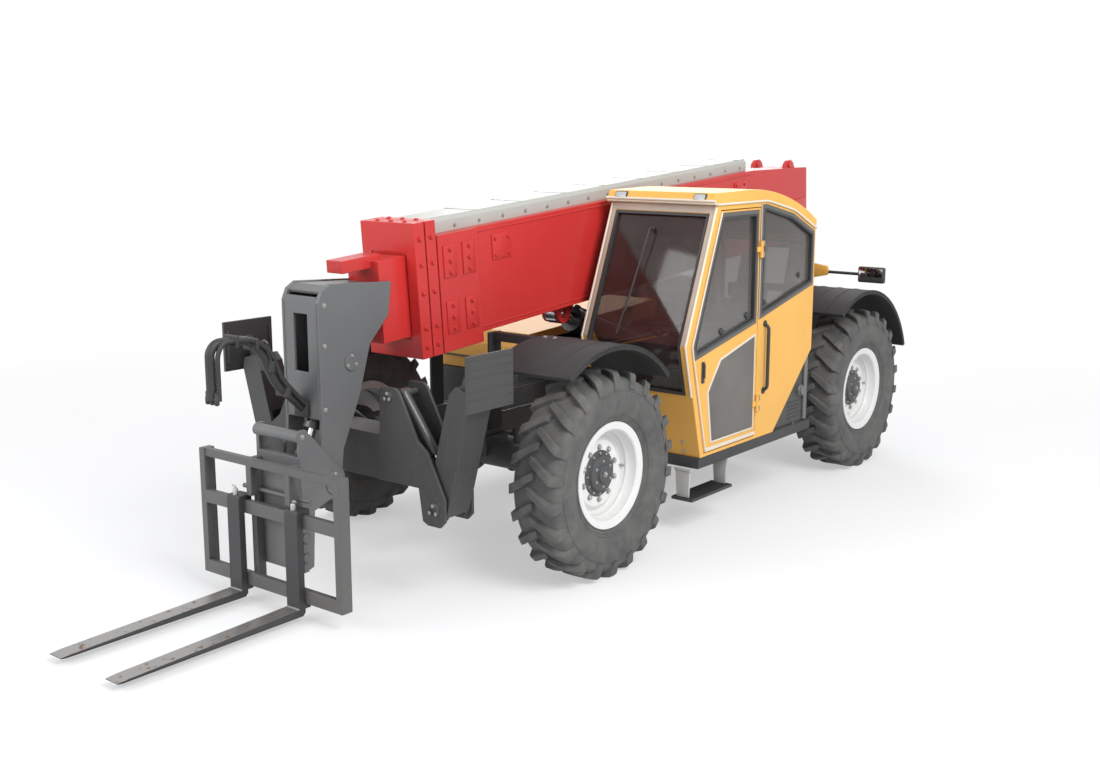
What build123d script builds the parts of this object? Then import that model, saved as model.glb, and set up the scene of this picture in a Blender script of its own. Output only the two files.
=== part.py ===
from build123d import *
import os
from math import atan2, cos, hypot, radians, sin

os.makedirs("parts", exist_ok=True)

# Telehandler. Millimetres. +X is the machine's left, -Y is its front, +Z is up.
# Below, y is measured from midway between the axles. The written parts have their
# origin on the ground under the middle of the overall length, from the fork tips
# to the back of the counterweight.

# ---------------------------------------------------------------- driving dimensions
wheelbase = 3600
track = 2200                # between the middles of the left and right tyres
tyre_radius = 665
tyre_width = 360
running_gap = 0.3           # radial, at pins, shafts and pads
panel_gap = 6               # round doors, lids and other moving panels

front_axle_y = -wheelbase / 2
rear_axle_y = wheelbase / 2
axle_z = tyre_radius

rail_rear = rear_axle_y + 840           # back end of the frame
counterweight_depth = 190
fork_bar_front = front_axle_y - 1740    # front face of the bars that the forks hang on
fork_thickness = 45
fork_length = 1200
fork_face = fork_bar_front - running_gap - fork_thickness
overall_middle = (fork_face - fork_length + rail_rear + counterweight_depth) / 2
boom_pivot_y = rear_axle_y + 800
boom_pivot_z = 1780
boom_slope = 4.5            # the stowed boom runs down to the front, degrees
boom_half = 210             # half width of the outer boom
boom_reach = wheelbase + 1260           # from the boom pivot to the outer boom's front end

# ---------------------------------------------------------------- shape helpers
def save(piece, node):
    """Move a finished sub-part to the machine's own origin and write it under its name."""
    placed = piece.part.moved(Location((0, -overall_middle, 0)))
    placed.label = node
    export_step(placed, f"parts/{node}.step")


def block(x, y, z, mode=Mode.ADD):
    """A box between the pairs of limits x, y and z."""
    centre = ((x[0] + x[1]) / 2, (y[0] + y[1]) / 2, (z[0] + z[1]) / 2)
    with Locations(centre):
        Box(abs(x[1] - x[0]), abs(y[1] - y[0]), abs(z[1] - z[0]), mode=mode)


def slab(plane, outline, thickness, mode=Mode.ADD):
    """A polygon drawn on a plane and pushed out along the plane's normal."""
    with BuildSketch(plane) as face:
        with BuildLine():
            Polyline(*outline, close=True)
        make_face()
    extrude(face.sketch, amount=thickness, mode=mode)


def side_slab(outline, x, mode=Mode.ADD):
    """A (y, z) outline with its thickness between the pair x."""
    slab(Plane.YZ.offset(x[0]), outline, x[1] - x[0], mode)


def front_slab(outline, y, mode=Mode.ADD):
    """An (x, z) outline with its thickness between the pair y."""
    slab(Plane.XZ.offset(-y[1]), outline, y[1] - y[0], mode)


def boom_slab(outline, half_width, mode=Mode.ADD, inner=None):
    """A (u, v) outline in the boom's own frame, u forward and v up from the boom pivot.

    It is as wide as half_width on each side of the centreline, or between
    inner and half_width on both sides.
    """
    slope = radians(boom_slope)
    spans = [(half_width, -half_width)] if inner is None else [(half_width, inner), (-inner, -half_width)]
    for left, right in spans:
        plane = Plane(
            origin=(left, boom_pivot_y, boom_pivot_z),
            x_dir=(0, -cos(slope), -sin(slope)),
            z_dir=(-1, 0, 0),
        )
        slab(plane, outline, left - right, mode)


def boom_box(u, v, half_width, mode=Mode.ADD, inner=None):
    boom_slab([(u[0], v[0]), (u[1], v[0]), (u[1], v[1]), (u[0], v[1])], half_width, mode, inner)


def boom_point(u, v):
    """The (y, z) place of a point given in the boom's own frame."""
    slope = radians(boom_slope)
    return (
        boom_pivot_y - u * cos(slope) - v * sin(slope),
        boom_pivot_z - u * sin(slope) + v * cos(slope),
    )


def bar(start, end, radius, mode=Mode.ADD):
    """A round bar between two points."""
    axis = Vector(*end) - Vector(*start)
    with BuildSketch(Plane(origin=start, z_dir=axis)) as section:
        Circle(radius)
    extrude(section.sketch, amount=axis.length, mode=mode)


def cross_bar(place, radius, x, mode=Mode.ADD):
    """A round bar along X through the (y, z) place, between the pair x."""
    bar((x[0], *place), (x[1], *place), radius, mode)


def lug(place, radius, root, x, mode=Mode.ADD):
    """A plate with a round end at the (y, z) place, tapering to the two root points."""
    cross_bar(place, radius, x, mode)
    side_slab([(place[0] - radius, place[1]), (place[0] + radius, place[1]), *root], x, mode)


eye_neck = 20               # from a cylinder's eye to the end of its tube
end_wall = 25               # closed end of the tube
rod_start_gap = 10          # left behind the rod when it is fully in


def ram_line(start, end):
    """The start point and the direction of a hydraulic cylinder between two pins."""
    start, end = Vector(*start), Vector(*end)
    return start, (end - start).normalized()


def ram_eye(centre, pin_axis, radius, pin_radius, half_width):
    """An eye across the cylinder's end, bored for its pin."""
    middle, axis = Vector(*centre), Vector(*pin_axis)
    bar(middle - axis * half_width, middle + axis * half_width, radius)
    bar(
        middle - axis * (half_width + 5),
        middle + axis * (half_width + 5),
        pin_radius + running_gap,
        Mode.SUBTRACT,
    )


def ram_barrel(start, end, pin_axis, size):
    """A tube with its eye at the start pin, and the bore that its rod slides in."""
    foot, line = ram_line(start, end)
    tube_start = foot + line * (size["eye_radius"] + eye_neck)
    tube_end = foot + line * size["barrel_length"]
    bar(foot, tube_start, size["eye_half"])
    bar(tube_start, tube_end, size["barrel_radius"])
    bar(tube_end - line * size["gland"], tube_end, size["barrel_radius"] + size["gland_lip"])
    bar(tube_start + line * end_wall, tube_end + line * 5, size["rod_radius"] + running_gap, Mode.SUBTRACT)
    ram_eye(start, pin_axis, size["eye_radius"], size["pin_radius"], size["eye_half"])


def ram_rod(start, end, pin_axis, size):
    """A rod from deep inside its tube to the eye at the end pin."""
    foot, line = ram_line(start, end)
    inner_end = size["eye_radius"] + eye_neck + end_wall + rod_start_gap + size["retract"]
    bar(foot + line * inner_end, Vector(*end), size["rod_radius"])
    ram_eye(end, pin_axis, size["rod_eye_radius"], size["rod_pin_radius"], size["eye_half"])


# ---------------------------------------------------------------- frame dimensions
boom_side_gap = 18          # between the outer boom and the frame plates
rail_in = boom_half + boom_side_gap     # inner and outer faces of the two frame plates
rail_out = rail_in + 28
rail_low = 480
rail_high = 930
rail_front = front_axle_y - 600
axle_notch_z = 790          # underside of the plates over the axles
axle_notch = 220            # half length of that notch
tower_top = 2000
belly = 20                  # floor plate thickness

lift_foot = (rear_axle_y - 350, 700)    # (y, z) of the lift cylinder's lower pin
lift_head = (front_axle_y + 1000, 1486) # (y, z) of its upper pin under the stowed boom
lift_pin_radius = 35

# ---------------------------------------------------------------- chassis frame
rail_outline = [
    (rail_front, rail_low + 40),
    (front_axle_y - axle_notch - 60, rail_low),
    (front_axle_y - axle_notch, axle_notch_z),
    (front_axle_y + axle_notch, axle_notch_z),
    (front_axle_y + axle_notch + 60, rail_low),
    (rear_axle_y - axle_notch - 60, rail_low),
    (rear_axle_y - axle_notch, axle_notch_z),
    (rear_axle_y + axle_notch, axle_notch_z),
    (rear_axle_y + axle_notch + 60, rail_low + 60),
    (rail_rear, rail_low + 60),
    (rail_rear, 1150),
    (boom_pivot_y + 130, 1400),
    (boom_pivot_y + 130, tower_top - 60),
    (boom_pivot_y + 70, tower_top),
    (boom_pivot_y - 130, tower_top),
    (boom_pivot_y - 230, tower_top - 100),
    (boom_pivot_y - 420, 1250),
    (boom_pivot_y - 760, rail_high),
    (rail_front, rail_high),
]
boom_pin_radius = 50

with BuildPart() as chassis_frame:
    side_slab(rail_outline, (rail_in, rail_out))
    side_slab(rail_outline, (-rail_out, -rail_in))
    # Floor plates between the axles, and the closing plates at both ends.
    middle = axle_notch + 60
    block((-rail_in, rail_in), (front_axle_y + middle, rear_axle_y - middle), (rail_low, rail_low + belly))
    block((-rail_in, rail_in), (rail_front, rail_front + 30), (rail_low + 40, rail_high))
    block((-rail_in, rail_in), (rail_rear - 40, rail_rear), (rail_low + 60, 1150))
    # Cross tubes that tie the plates together.
    for tie_y, tie_z in ((front_axle_y + 330, 640), (0, 620), (rear_axle_y - 330, 550)):
        cross_bar((tie_y, tie_z), 60, (-rail_in, rail_in))
    # Boom pivot pin and the lift cylinder's lower pin with its two lugs.
    cross_bar((boom_pivot_y, boom_pivot_z), boom_pin_radius, (-rail_out - 12, rail_out + 12))
    cross_bar(lift_foot, lift_pin_radius, (-rail_in, rail_in))
    for side in (-1, 1):
        span = sorted((side * 52, side * 80))
        lug(lift_foot, 75, [(lift_foot[0] + 160, rail_low + belly), (lift_foot[0] - 160, rail_low + belly)], span)

save(chassis_frame, "chassis_frame")

# ---------------------------------------------------------------- wheels, axles and knuckles
rim_seat_radius = 307       # the tyre's bore
rim_flange_radius = 345
rim_half = 137
hub_radius = 145
hub_out = 40                # the hub's face, outwards of the wheel's middle plane
hub_in = -60
spindle_radius = 60
kingpin_inset = 300         # from the tyre's middle plane to the kingpin
kingpin_x = track / 2 - kingpin_inset
kingpin_radius = 30
boss_radius = 70
boss_half = 90
ear_gap = 6
ear_thickness = 30
axle_radius = 85
differential_radius = 175
pad_top = axle_notch_z


def wheel_plane(side, y):
    """A half plane through the wheel's axis: its x runs outwards and its y is the radius."""
    return Plane(origin=(side * track / 2, y, axle_z), x_dir=(side, 0, 0), z_dir=(0, -side, 0))


def turned(plane, outline, axis):
    """A polygon turned a full circle about an axis."""
    with BuildSketch(plane) as face:
        with BuildLine():
            Polyline(*outline, close=True)
        make_face()
    revolve(face.sketch, axis=axis)


def box_outline(x0, x1, r0, r1):
    return [(x0, r0), (x1, r0), (x1, r1), (x0, r1)]


wheel_places = [("front", front_axle_y, "left", 1), ("front", front_axle_y, "right", -1)]
wheel_places += [("rear", rear_axle_y, "left", 1), ("rear", rear_axle_y, "right", -1)]

for end_name, wheel_y, side_name, side in wheel_places:
    place = f"{end_name}_{side_name}"
    plane = wheel_plane(side, wheel_y)
    spin = Axis((side * track / 2, wheel_y, axle_z), (1, 0, 0))

    with BuildPart() as tyre:
        half = tyre_width / 2
        bead = rim_half - 12
        shoulder = half - 15
        with BuildSketch(plane) as section:
            with BuildLine():
                Line((-bead, rim_seat_radius), (bead, rim_seat_radius))
                Line((bead, rim_seat_radius), (bead, rim_flange_radius + 8))
                ThreePointArc((bead, rim_flange_radius + 8), (half, 480), (shoulder, tyre_radius - 62))
                Polyline(
                    (shoulder, tyre_radius - 62),
                    (shoulder - 28, tyre_radius),
                    (28 - shoulder, tyre_radius),
                    (-shoulder, tyre_radius - 62),
                )
                ThreePointArc((-shoulder, tyre_radius - 62), (-half, 480), (-bead, rim_flange_radius + 8))
                Line((-bead, rim_flange_radius + 8), (-bead, rim_seat_radius))
            make_face()
        revolve(section.sketch, axis=spin)
    save(tyre, f"{place}_tyre")

    with BuildPart() as rim:
        seat = rim_seat_radius - running_gap
        for x0, x1, r0, r1 in (
            (-rim_half, rim_half, seat - 16, seat),                                 # barrel
            (rim_half - 12 + running_gap, rim_half, seat - 16, rim_flange_radius),    # outer flange
            (-rim_half, 12 - rim_half - running_gap, seat - 16, rim_flange_radius),   # inner flange
            (10, 34, hub_radius - 10, seat - 8),                                     # disc
            (hub_in, hub_out, 0, hub_radius),                                        # hub
        ):
            turned(plane, box_outline(x0, x1, r0, r1), spin)
        hub_x = side * track / 2
        bar(
            (hub_x + side * (hub_in - 5), wheel_y, axle_z),
            (hub_x, wheel_y, axle_z),
            spindle_radius + running_gap,
            Mode.SUBTRACT,
        )
    save(rim, f"{place}_rim")

    with BuildPart() as knuckle:
        ear_low = boss_half + ear_gap
        ear_high = ear_low + ear_thickness
        kx = side * kingpin_x
        web_in = kx + side * (boss_radius + ear_gap)
        for sign in (-1, 1):
            heights = sorted((axle_z + sign * ear_low, axle_z + sign * ear_high))
            bar((kx, wheel_y, heights[0]), (kx, wheel_y, heights[1]), boss_radius)
            block((kx, web_in), (wheel_y - boss_radius, wheel_y + boss_radius), heights)
        bar((kx, wheel_y, axle_z - ear_high), (kx, wheel_y, axle_z + ear_high), kingpin_radius)
        block(
            (web_in, web_in + side * 30),
            (wheel_y - boss_radius, wheel_y + boss_radius),
            (axle_z - ear_high, axle_z + ear_high),
        )
        inner_hub = hub_x + side * hub_in
        bar((web_in, wheel_y, axle_z), (inner_hub - side * 10, wheel_y, axle_z), 120)
        bar((web_in, wheel_y, axle_z), (hub_x - side * 5, wheel_y, axle_z), spindle_radius)
    save(knuckle, f"{place}_knuckle")

for end_name, axle_y in (("front", front_axle_y), ("rear", rear_axle_y)):
    with BuildPart() as axle:
        bar((-kingpin_x, axle_y, axle_z), (kingpin_x, axle_y, axle_z), axle_radius)
        for sign in (-1, 1):
            bar(
                (sign * kingpin_x, axle_y, axle_z - boss_half),
                (sign * kingpin_x, axle_y, axle_z + boss_half),
                boss_radius,
            )
            # Clear of the knuckle's ears and web, outwards of the boss.
            block(
                (sign * kingpin_x, sign * (kingpin_x + 200)),
                (axle_y - 200, axle_y + 200),
                (axle_z - 200, axle_z + 200),
                Mode.SUBTRACT,
            )
            bar(
                (sign * kingpin_x, axle_y, axle_z - boss_half),
                (sign * kingpin_x, axle_y, axle_z + boss_half),
                boss_radius,
            )
            bar(
                (sign * kingpin_x, axle_y, axle_z - boss_half - 5),
                (sign * kingpin_x, axle_y, axle_z + boss_half + 5),
                kingpin_radius + running_gap,
                Mode.SUBTRACT,
            )
            # Spring-less mounting pad under the frame plate.
            block(
                (sign * (rail_in - 25), sign * (rail_out + 25)),
                (axle_y - 110, axle_y + 110),
                (axle_z, pad_top),
            )
        with Locations((0, axle_y, axle_z)):
            Sphere(differential_radius)
    save(axle, f"{end_name}_axle")

# ---------------------------------------------------------------- boom
# Each section: half width, underside and top in the boom's frame, wall, back end, front end.
nest = 24                   # each section is narrower than the one around it by this on each side
sections = {
    "outer_boom": dict(half=boom_half, low=60, high=760, wall=10, back=-90, front=boom_reach),
    "boom_section_2": dict(half=boom_half - nest, low=90, high=710, wall=10, back=520, front=boom_reach + 100),
    "boom_section_3": dict(half=boom_half - 2 * nest, low=116, high=684, wall=10, back=640, front=boom_reach + 200),
    "boom_section_4": dict(half=boom_half - 3 * nest, low=142, high=658, wall=10, back=760, front=boom_reach + 430),
}
collar_half = boom_half + 26
collar_low = 2
collar_high = 862
collar_length = 90
outer_collar_back = boom_reach - 380
pad_length = 160
taper_end = 900             # the outer boom's top falls away behind this
taper_drop = 70
tray_half = 150
tray_high = 862
cheek_drop = 100


def boom_tube(section):
    boom_box((section["back"], section["front"]), (section["low"], section["high"]), section["half"])


def boom_bore(section, back=None):
    wall = section["wall"]
    start = section["back"] - 5 if back is None else back
    boom_box(
        (start, section["front"] + 5),
        (section["low"] + wall, section["high"] - wall),
        section["half"] - wall,
        Mode.SUBTRACT,
    )


def ring(u, outer, inner):
    """Pads that fill the space between two sections, as four bars between u[0] and u[1]."""
    out_half, out_low, out_high = outer
    in_half, in_low, in_high = inner
    boom_box(u, (out_low, in_low), out_half)
    boom_box(u, (in_high, out_high), out_half)
    boom_box(u, (in_low, in_high), out_half, inner=in_half)


def bore_size(section, gap=0.0):
    wall = section["wall"]
    return section["half"] - wall - gap, section["low"] + wall + gap, section["high"] - wall - gap


def skin_size(section, gap=0.0):
    return section["half"] + gap, section["low"] - gap, section["high"] + gap


outer = sections["outer_boom"]
with BuildPart() as outer_boom:
    boom_slab(
        [
            (outer["back"], outer["low"]),
            (outer["front"], outer["low"]),
            (outer["front"], outer["high"]),
            (taper_end, outer["high"]),
            (outer["back"], outer["high"] - taper_drop),
        ],
        outer["half"],
    )
    # Front collar, and the cheeks that carry the boom on its pivot pin.
    boom_box((outer_collar_back, outer["front"]), (collar_low, outer["high"]), collar_half)
    cheek_front = outer["back"] + 420
    wall = outer["wall"]
    boom_slab(
        [
            (outer["back"], outer["low"]),
            (-60, -cheek_drop + 20),
            (60, -cheek_drop + 20),
            (cheek_front, outer["low"]),
        ],
        outer["half"],
        inner=outer["half"] - 25,
    )
    bar((-outer["half"] - 16, boom_pivot_y, boom_pivot_z), (outer["half"] + 16, boom_pivot_y, boom_pivot_z), 90)
    boom_slab(
        [
            (outer["back"] + wall, outer["low"] + wall),
            (outer["front"] + 5, outer["low"] + wall),
            (outer["front"] + 5, outer["high"] - wall),
            (taper_end, outer["high"] - wall),
            (outer["back"] + wall, outer["high"] - wall - taper_drop),
        ],
        outer["half"] - wall,
        Mode.SUBTRACT,
    )
    bar(
        (-outer["half"] - 20, boom_pivot_y, boom_pivot_z),
        (outer["half"] + 20, boom_pivot_y, boom_pivot_z),
        boom_pin_radius + running_gap,
        Mode.SUBTRACT,
    )
    block(
        (-outer["half"] + 25, outer["half"] - 25),
        (boom_pivot_y - 90, boom_pivot_y + 88),
        (boom_pivot_z - 95, boom_pivot_z + 52),
        Mode.SUBTRACT,
    )
    # Lugs for the lift cylinder's upper pin.
    head_u = hypot(lift_head[0] - boom_pivot_y, lift_head[1] - boom_pivot_z) * cos(
        atan2(boom_pivot_z - lift_head[1], boom_pivot_y - lift_head[0]) - radians(boom_slope)
    )
    for side in (-1, 1):
        span = sorted((side * 50, side * 78))
        cross_bar(lift_head, 70, span)
        root = [boom_point(head_u - 160, outer["low"] + 3), boom_point(head_u + 160, outer["low"] + 3)]
        side_slab([(lift_head[0] + 68, lift_head[1]), root[0], root[1], (lift_head[0] - 68, lift_head[1])], span)
        cross_bar(lift_head, lift_pin_radius + 1, (span[0] - 1, span[1] + 1), Mode.SUBTRACT)
    # Wear pads inside the collar.
    ring(
        (outer["front"] - 20 - pad_length, outer["front"] - 20),
        bore_size(outer),
        skin_size(sections["boom_section_2"], running_gap),
    )
save(outer_boom, "outer_boom")

with BuildPart() as hose_tray:
    boom_box((taper_end, outer["front"]), (outer["high"], tray_high), tray_half)
save(hose_tray, "hose_tray")

middle_sections = [
    ("boom_section_2", "outer_boom", "boom_section_3", 940),
    ("boom_section_3", "boom_section_2", "boom_section_4", 680),
]
for node, around, within, pad_back in middle_sections:
    section = sections[node]
    with BuildPart() as middle:
        boom_tube(section)
        boom_box((section["front"] - collar_length, section["front"]), (collar_low, collar_high), collar_half)
        boom_bore(section)
        front_pad = (section["front"] - 10 - pad_length, section["front"] - 10)
        ring(front_pad, bore_size(section), skin_size(sections[within], running_gap))
        ring((pad_back, pad_back + pad_length), bore_size(sections[around], running_gap), skin_size(section))
    save(middle, node)

inner_section = sections["boom_section_4"]
with BuildPart() as boom_section_4:
    boom_tube(inner_section)
    boom_bore(inner_section)
    boom_box(
        (inner_section["front"] - 12, inner_section["front"]),
        (inner_section["low"], inner_section["high"]),
        inner_section["half"],
    )
    ring((800, 800 + pad_length), bore_size(sections["boom_section_3"], running_gap), skin_size(inner_section))
    # Hose bracket that stands out over the boom head.
    boom_box((inner_section["front"] - 90, inner_section["front"] + 230), (612, 690), 70)
save(boom_section_4, "boom_section_4")

# ---------------------------------------------------------------- boom head, coupler and forks
def from_front(*points):
    """The (y, z) places of points whose y is measured from the front axle."""
    return [(front_axle_y + y, z) for y, z in points]


# (y, z) of the coupler's pivot and of the tilt cylinder's upper pin.
tilt_pivot, tilt_foot = from_front((-1380, 740), (-1190, 1440))
tilt_pin_radius = 32
tilt_foot_pin_radius = 30
lever_length = 160
lever_lean = 20             # forward of upright, degrees
lever_tip = (
    tilt_pivot[0] - lever_length * sin(radians(lever_lean)),
    tilt_pivot[1] + lever_length * cos(radians(lever_lean)),
)
head_in = inner_section["half"]
head_out = head_in + 25
head_outline = from_front(
    (-840, 1895),
    (-1340, 1922),
    (-1405, 1885),
    (-1435, 1820),
    (-1435, 1100),
    (-1470, 740),
    (-1380, 645),
    (-1290, 740),
    (-1270, 920),
    (-1125, 1230),
    (-1030, 1530),
    (-870, 1690),
)
head_front = front_axle_y - 1435
head_top = from_front((-925, 1890), (-1340, 1912), (-1395, 1880), (-1390, 1860), (-1340, 1892), (-927, 1870))
head_back = from_front((-937, 1655), (-1030, 1530), (-1125, 1230), (-1145, 1232), (-1050, 1540), (-957, 1665))
with BuildPart() as boom_head:
    for side in (-1, 1):
        span = sorted((side * head_in, side * head_out))
        side_slab(head_outline, span)
        cross_bar(tilt_pivot, 95, span)
    # Top, front and back plates. The front plate has an upright slot.
    side_slab(head_top, (-head_in, head_in))
    block((-head_in, head_in), (head_front, head_front + 20), (1120, 1850))
    block((-60, 60), (head_front - 5, head_front + 25), (1400, 1745), Mode.SUBTRACT)
    side_slab(head_back, (-head_in, head_in))
    cross_bar(tilt_foot, tilt_foot_pin_radius, (-head_out, head_out))
    cross_bar(tilt_pivot, tilt_pin_radius + running_gap, (-head_out - 5, head_out + 5), Mode.SUBTRACT)
save(boom_head, "boom_head")

arm_path = from_front(
    (-1435, 1160), (-1640, 1350), (-1730, 1550), (-1840, 1640), (-2050, 1640), (-2090, 1600), (-2090, 1310)
)
with BuildPart() as hose_arm:
    for start, end in zip(arm_path[:-1], arm_path[1:]):
        bar((0, *start), (0, *end), 30)
    for corner in arm_path[1:-1]:
        with Locations((0, *corner)):
            Sphere(30)
    block((-60, 60), (head_front - 20, head_front + 85), (1130, 1230), Mode.SUBTRACT)
    block((-60, 60), (head_front - 20, head_front), (1130, 1230))
save(hose_arm, "hose_arm")

ear_in = head_out + 7
ear_out = ear_in + 25
coupler_front = front_axle_y - 1640
coupler_back = coupler_front + 40
with BuildPart() as coupler:
    for side in (-1, 1):
        span = sorted((side * ear_in, side * ear_out))
        side_slab(
            [
                (tilt_pivot[0] + 60, tilt_pivot[1] + 60),
                (coupler_back + 10, 1100),
                (coupler_front, 1100),
                (coupler_front, 240),
                (coupler_back + 40, 260),
                (coupler_back + 60, 600),
                (tilt_pivot[0] + 60, tilt_pivot[1] - 60),
            ],
            span,
        )
        cross_bar(tilt_pivot, 85, span)
        lever_span = sorted((side * 28, side * 48))
        cross_bar(tilt_pivot, 65, lever_span)
        cross_bar(lever_tip, 42, lever_span)
        lean = radians(lever_lean)
        across = (cos(lean) * 42, sin(lean) * 42)
        side_slab(
            [
                (tilt_pivot[0] + across[0], tilt_pivot[1] + across[1]),
                (lever_tip[0] + across[0], lever_tip[1] + across[1]),
                (lever_tip[0] - across[0], lever_tip[1] - across[1]),
                (tilt_pivot[0] - across[0], tilt_pivot[1] - across[1]),
            ],
            lever_span,
        )
        cross_bar(lever_tip, 26, (lever_span[0] - 1, lever_span[1] + 1), Mode.SUBTRACT)
    block((-ear_out, ear_out), (coupler_front, coupler_back), (240, 940))
    cross_bar((coupler_front + 10, 1060), 36, (-ear_out, ear_out))
    cross_bar(tilt_pivot, tilt_pin_radius, (-ear_out - 12, ear_out + 12))
save(coupler, "coupler")

carriage_half = 625
bar_front = fork_bar_front
bar_back = bar_front + 40
upper_bar = (560, 640)
lower_bar = (110, 190)
carriage_top = 900
post_width = 50
with BuildPart() as fork_carriage:
    for bar_z in (upper_bar, lower_bar):
        block((-carriage_half, carriage_half), (bar_front, bar_back), bar_z)
    block((-carriage_half, carriage_half), (bar_front + 10, bar_back + 10), (carriage_top - 50, carriage_top))
    for side in (-1, 1):
        block(
            (side * (carriage_half - post_width), side * carriage_half),
            (bar_front, bar_back + 40),
            (lower_bar[0], carriage_top),
        )
        block(
            (side * 150, side * ear_out),
            (bar_back, coupler_front),
            (lower_bar[0] + 5, upper_bar[1] - 22),
        )
        block(
            (side * 150, side * ear_out),
            (bar_back - 30, coupler_front),
            (upper_bar[1] + 30, carriage_top),
        )
        block(
            (side * 150, side * ear_out),
            (bar_back + 25, coupler_front),
            (lower_bar[0] + 5, carriage_top),
        )
save(fork_carriage, "fork_carriage")

fork_spread = 520           # between the forks' middles
fork_width = 110
fork_low = 38
for side_name, side in (("left", 1), ("right", -1)):
    with BuildPart() as fork:
        middle = side * fork_spread / 2
        across = (middle - fork_width / 2, middle + fork_width / 2)
        shank_back = bar_front - running_gap
        side_slab(
            [
                (shank_back, upper_bar[1] + 30),
                (fork_face + 8, upper_bar[1] + 30),
                (fork_face, upper_bar[1]),
                (fork_face, fork_low + fork_thickness + 8),
                (fork_face - 8, fork_low + fork_thickness),
                (fork_face - fork_length + 60, fork_low + 18),
                (fork_face - fork_length, fork_low + 12),
                (fork_face - fork_length, fork_low + 4),
                (fork_face - fork_length + 30, fork_low),
                (shank_back - 20, fork_low),
                (shank_back, fork_low + 20),
            ],
            across,
        )
        # Hooks over the upper bar and under the lower one.
        block(across, (shank_back - 5, bar_back + 15), (upper_bar[1] + running_gap, upper_bar[1] + 30))
        block(across, (bar_back + running_gap, bar_back + 15), (upper_bar[1] - 14, upper_bar[1] + 5))
        block(across, (shank_back - 5, bar_back), (lower_bar[0] - 30, lower_bar[0] - running_gap))
    save(fork, f"{side_name}_fork")

# ---------------------------------------------------------------- hydraulic cylinders of the boom
lift_span = hypot(lift_head[0] - lift_foot[0], lift_head[1] - lift_foot[1])
lift_rod_shows = 193        # of the stowed cylinder's rod, up to its pin
lift_size = dict(
    barrel_radius=88, rod_radius=50, barrel_length=lift_span - lift_rod_shows, gland=70, gland_lip=6,
    eye_radius=75, eye_half=45, pin_radius=lift_pin_radius,
    rod_eye_radius=75, rod_pin_radius=lift_pin_radius, retract=0,
)
lift_start, lift_end = (0, *lift_foot), (0, *lift_head)
with BuildPart() as lift_cylinder_barrel:
    ram_barrel(lift_start, lift_end, (1, 0, 0), lift_size)
save(lift_cylinder_barrel, "lift_cylinder_barrel")
with BuildPart() as lift_cylinder_rod:
    ram_rod(lift_start, lift_end, (1, 0, 0), lift_size)
save(lift_cylinder_rod, "lift_cylinder_rod")

tilt_size = dict(
    barrel_radius=58, rod_radius=26, barrel_length=440, gland=40, gland_lip=4,
    eye_radius=48, eye_half=22, pin_radius=tilt_foot_pin_radius,
    rod_eye_radius=38, rod_pin_radius=20, retract=40,
)
tilt_start, tilt_end = (0, *tilt_foot), (0, *lever_tip)
with BuildPart() as tilt_cylinder_barrel:
    ram_barrel(tilt_start, tilt_end, (1, 0, 0), tilt_size)
save(tilt_cylinder_barrel, "tilt_cylinder_barrel")
with BuildPart() as tilt_cylinder_rod:
    ram_rod(tilt_start, tilt_end, (1, 0, 0), tilt_size)
save(tilt_cylinder_rod, "tilt_cylinder_rod")

# ---------------------------------------------------------------- front bridge and outriggers
bridge_front = front_axle_y - 1105
bridge_back = bridge_front + 260
bridge_wall = 20
bridge_low = 720
bridge_high = 1000
leg_pivot = (740, 600)      # (x, z), left side
leg_foot_pin = (960, 1400)
leg_pin_radius = 32
leg_ram_radius = 180        # from the leg's pivot to its cylinder's pin
leg_ram_lead = 20           # inwards of the leg's middle line, degrees
leg_ram_foot = (380, 1240)
leg_front = bridge_front + bridge_wall + 10
leg_back = bridge_back - bridge_wall - 10
leg_middle = (leg_front + leg_back) / 2
leg_angle = atan2(leg_foot_pin[1] - leg_pivot[1], leg_foot_pin[0] - leg_pivot[0])
ram_angle = leg_angle + radians(leg_ram_lead)
leg_ram_pin = (
    leg_pivot[0] + leg_ram_radius * cos(ram_angle),
    leg_pivot[1] + leg_ram_radius * sin(ram_angle),
)

with BuildPart() as front_bridge:
    half_cheek = [
        (0, bridge_low), (620, bridge_low), (650, 520), (690, 500), (790, 500), (830, 540), (830, 680),
        (700, 940), (620, 1000), (470, 1280), (440, 1300), (330, 1300), (310, 1280), (300, bridge_high), (0, bridge_high),
    ]
    half_core = [(0, bridge_low), (610, bridge_low), (600, 770), (450, 980), (300, bridge_high), (0, bridge_high)]
    for side in (1, -1):
        for y0 in (bridge_front, bridge_back - bridge_wall):
            front_slab([(side * x, z) for x, z in half_cheek], (y0, y0 + bridge_wall))
        front_slab([(side * x, z) for x, z in half_core], (bridge_front, bridge_back))
        # Arms bolted on the outside of the frame plates.
        block((side * rail_out, side * (rail_out + 30)), (bridge_back, bridge_back + 565), (bridge_low, rail_high - 10))
        # Pins of the leg and of its cylinder.
        bar((side * leg_pivot[0], bridge_front - 10, leg_pivot[1]), (side * leg_pivot[0], bridge_back, leg_pivot[1]), leg_pin_radius)
        bar((side * leg_ram_foot[0], bridge_front - 10, leg_ram_foot[1]), (side * leg_ram_foot[0], bridge_back, leg_ram_foot[1]), 22)
save(front_bridge, "front_bridge")


def leg_point(side, distance, offset):
    """The (x, z) place this far along the leg from its pivot, and this far inwards of its middle line."""
    x = leg_pivot[0] + distance * cos(leg_angle) - offset * sin(leg_angle)
    z = leg_pivot[1] + distance * sin(leg_angle) + offset * cos(leg_angle)
    return (side * x, z)


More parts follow.
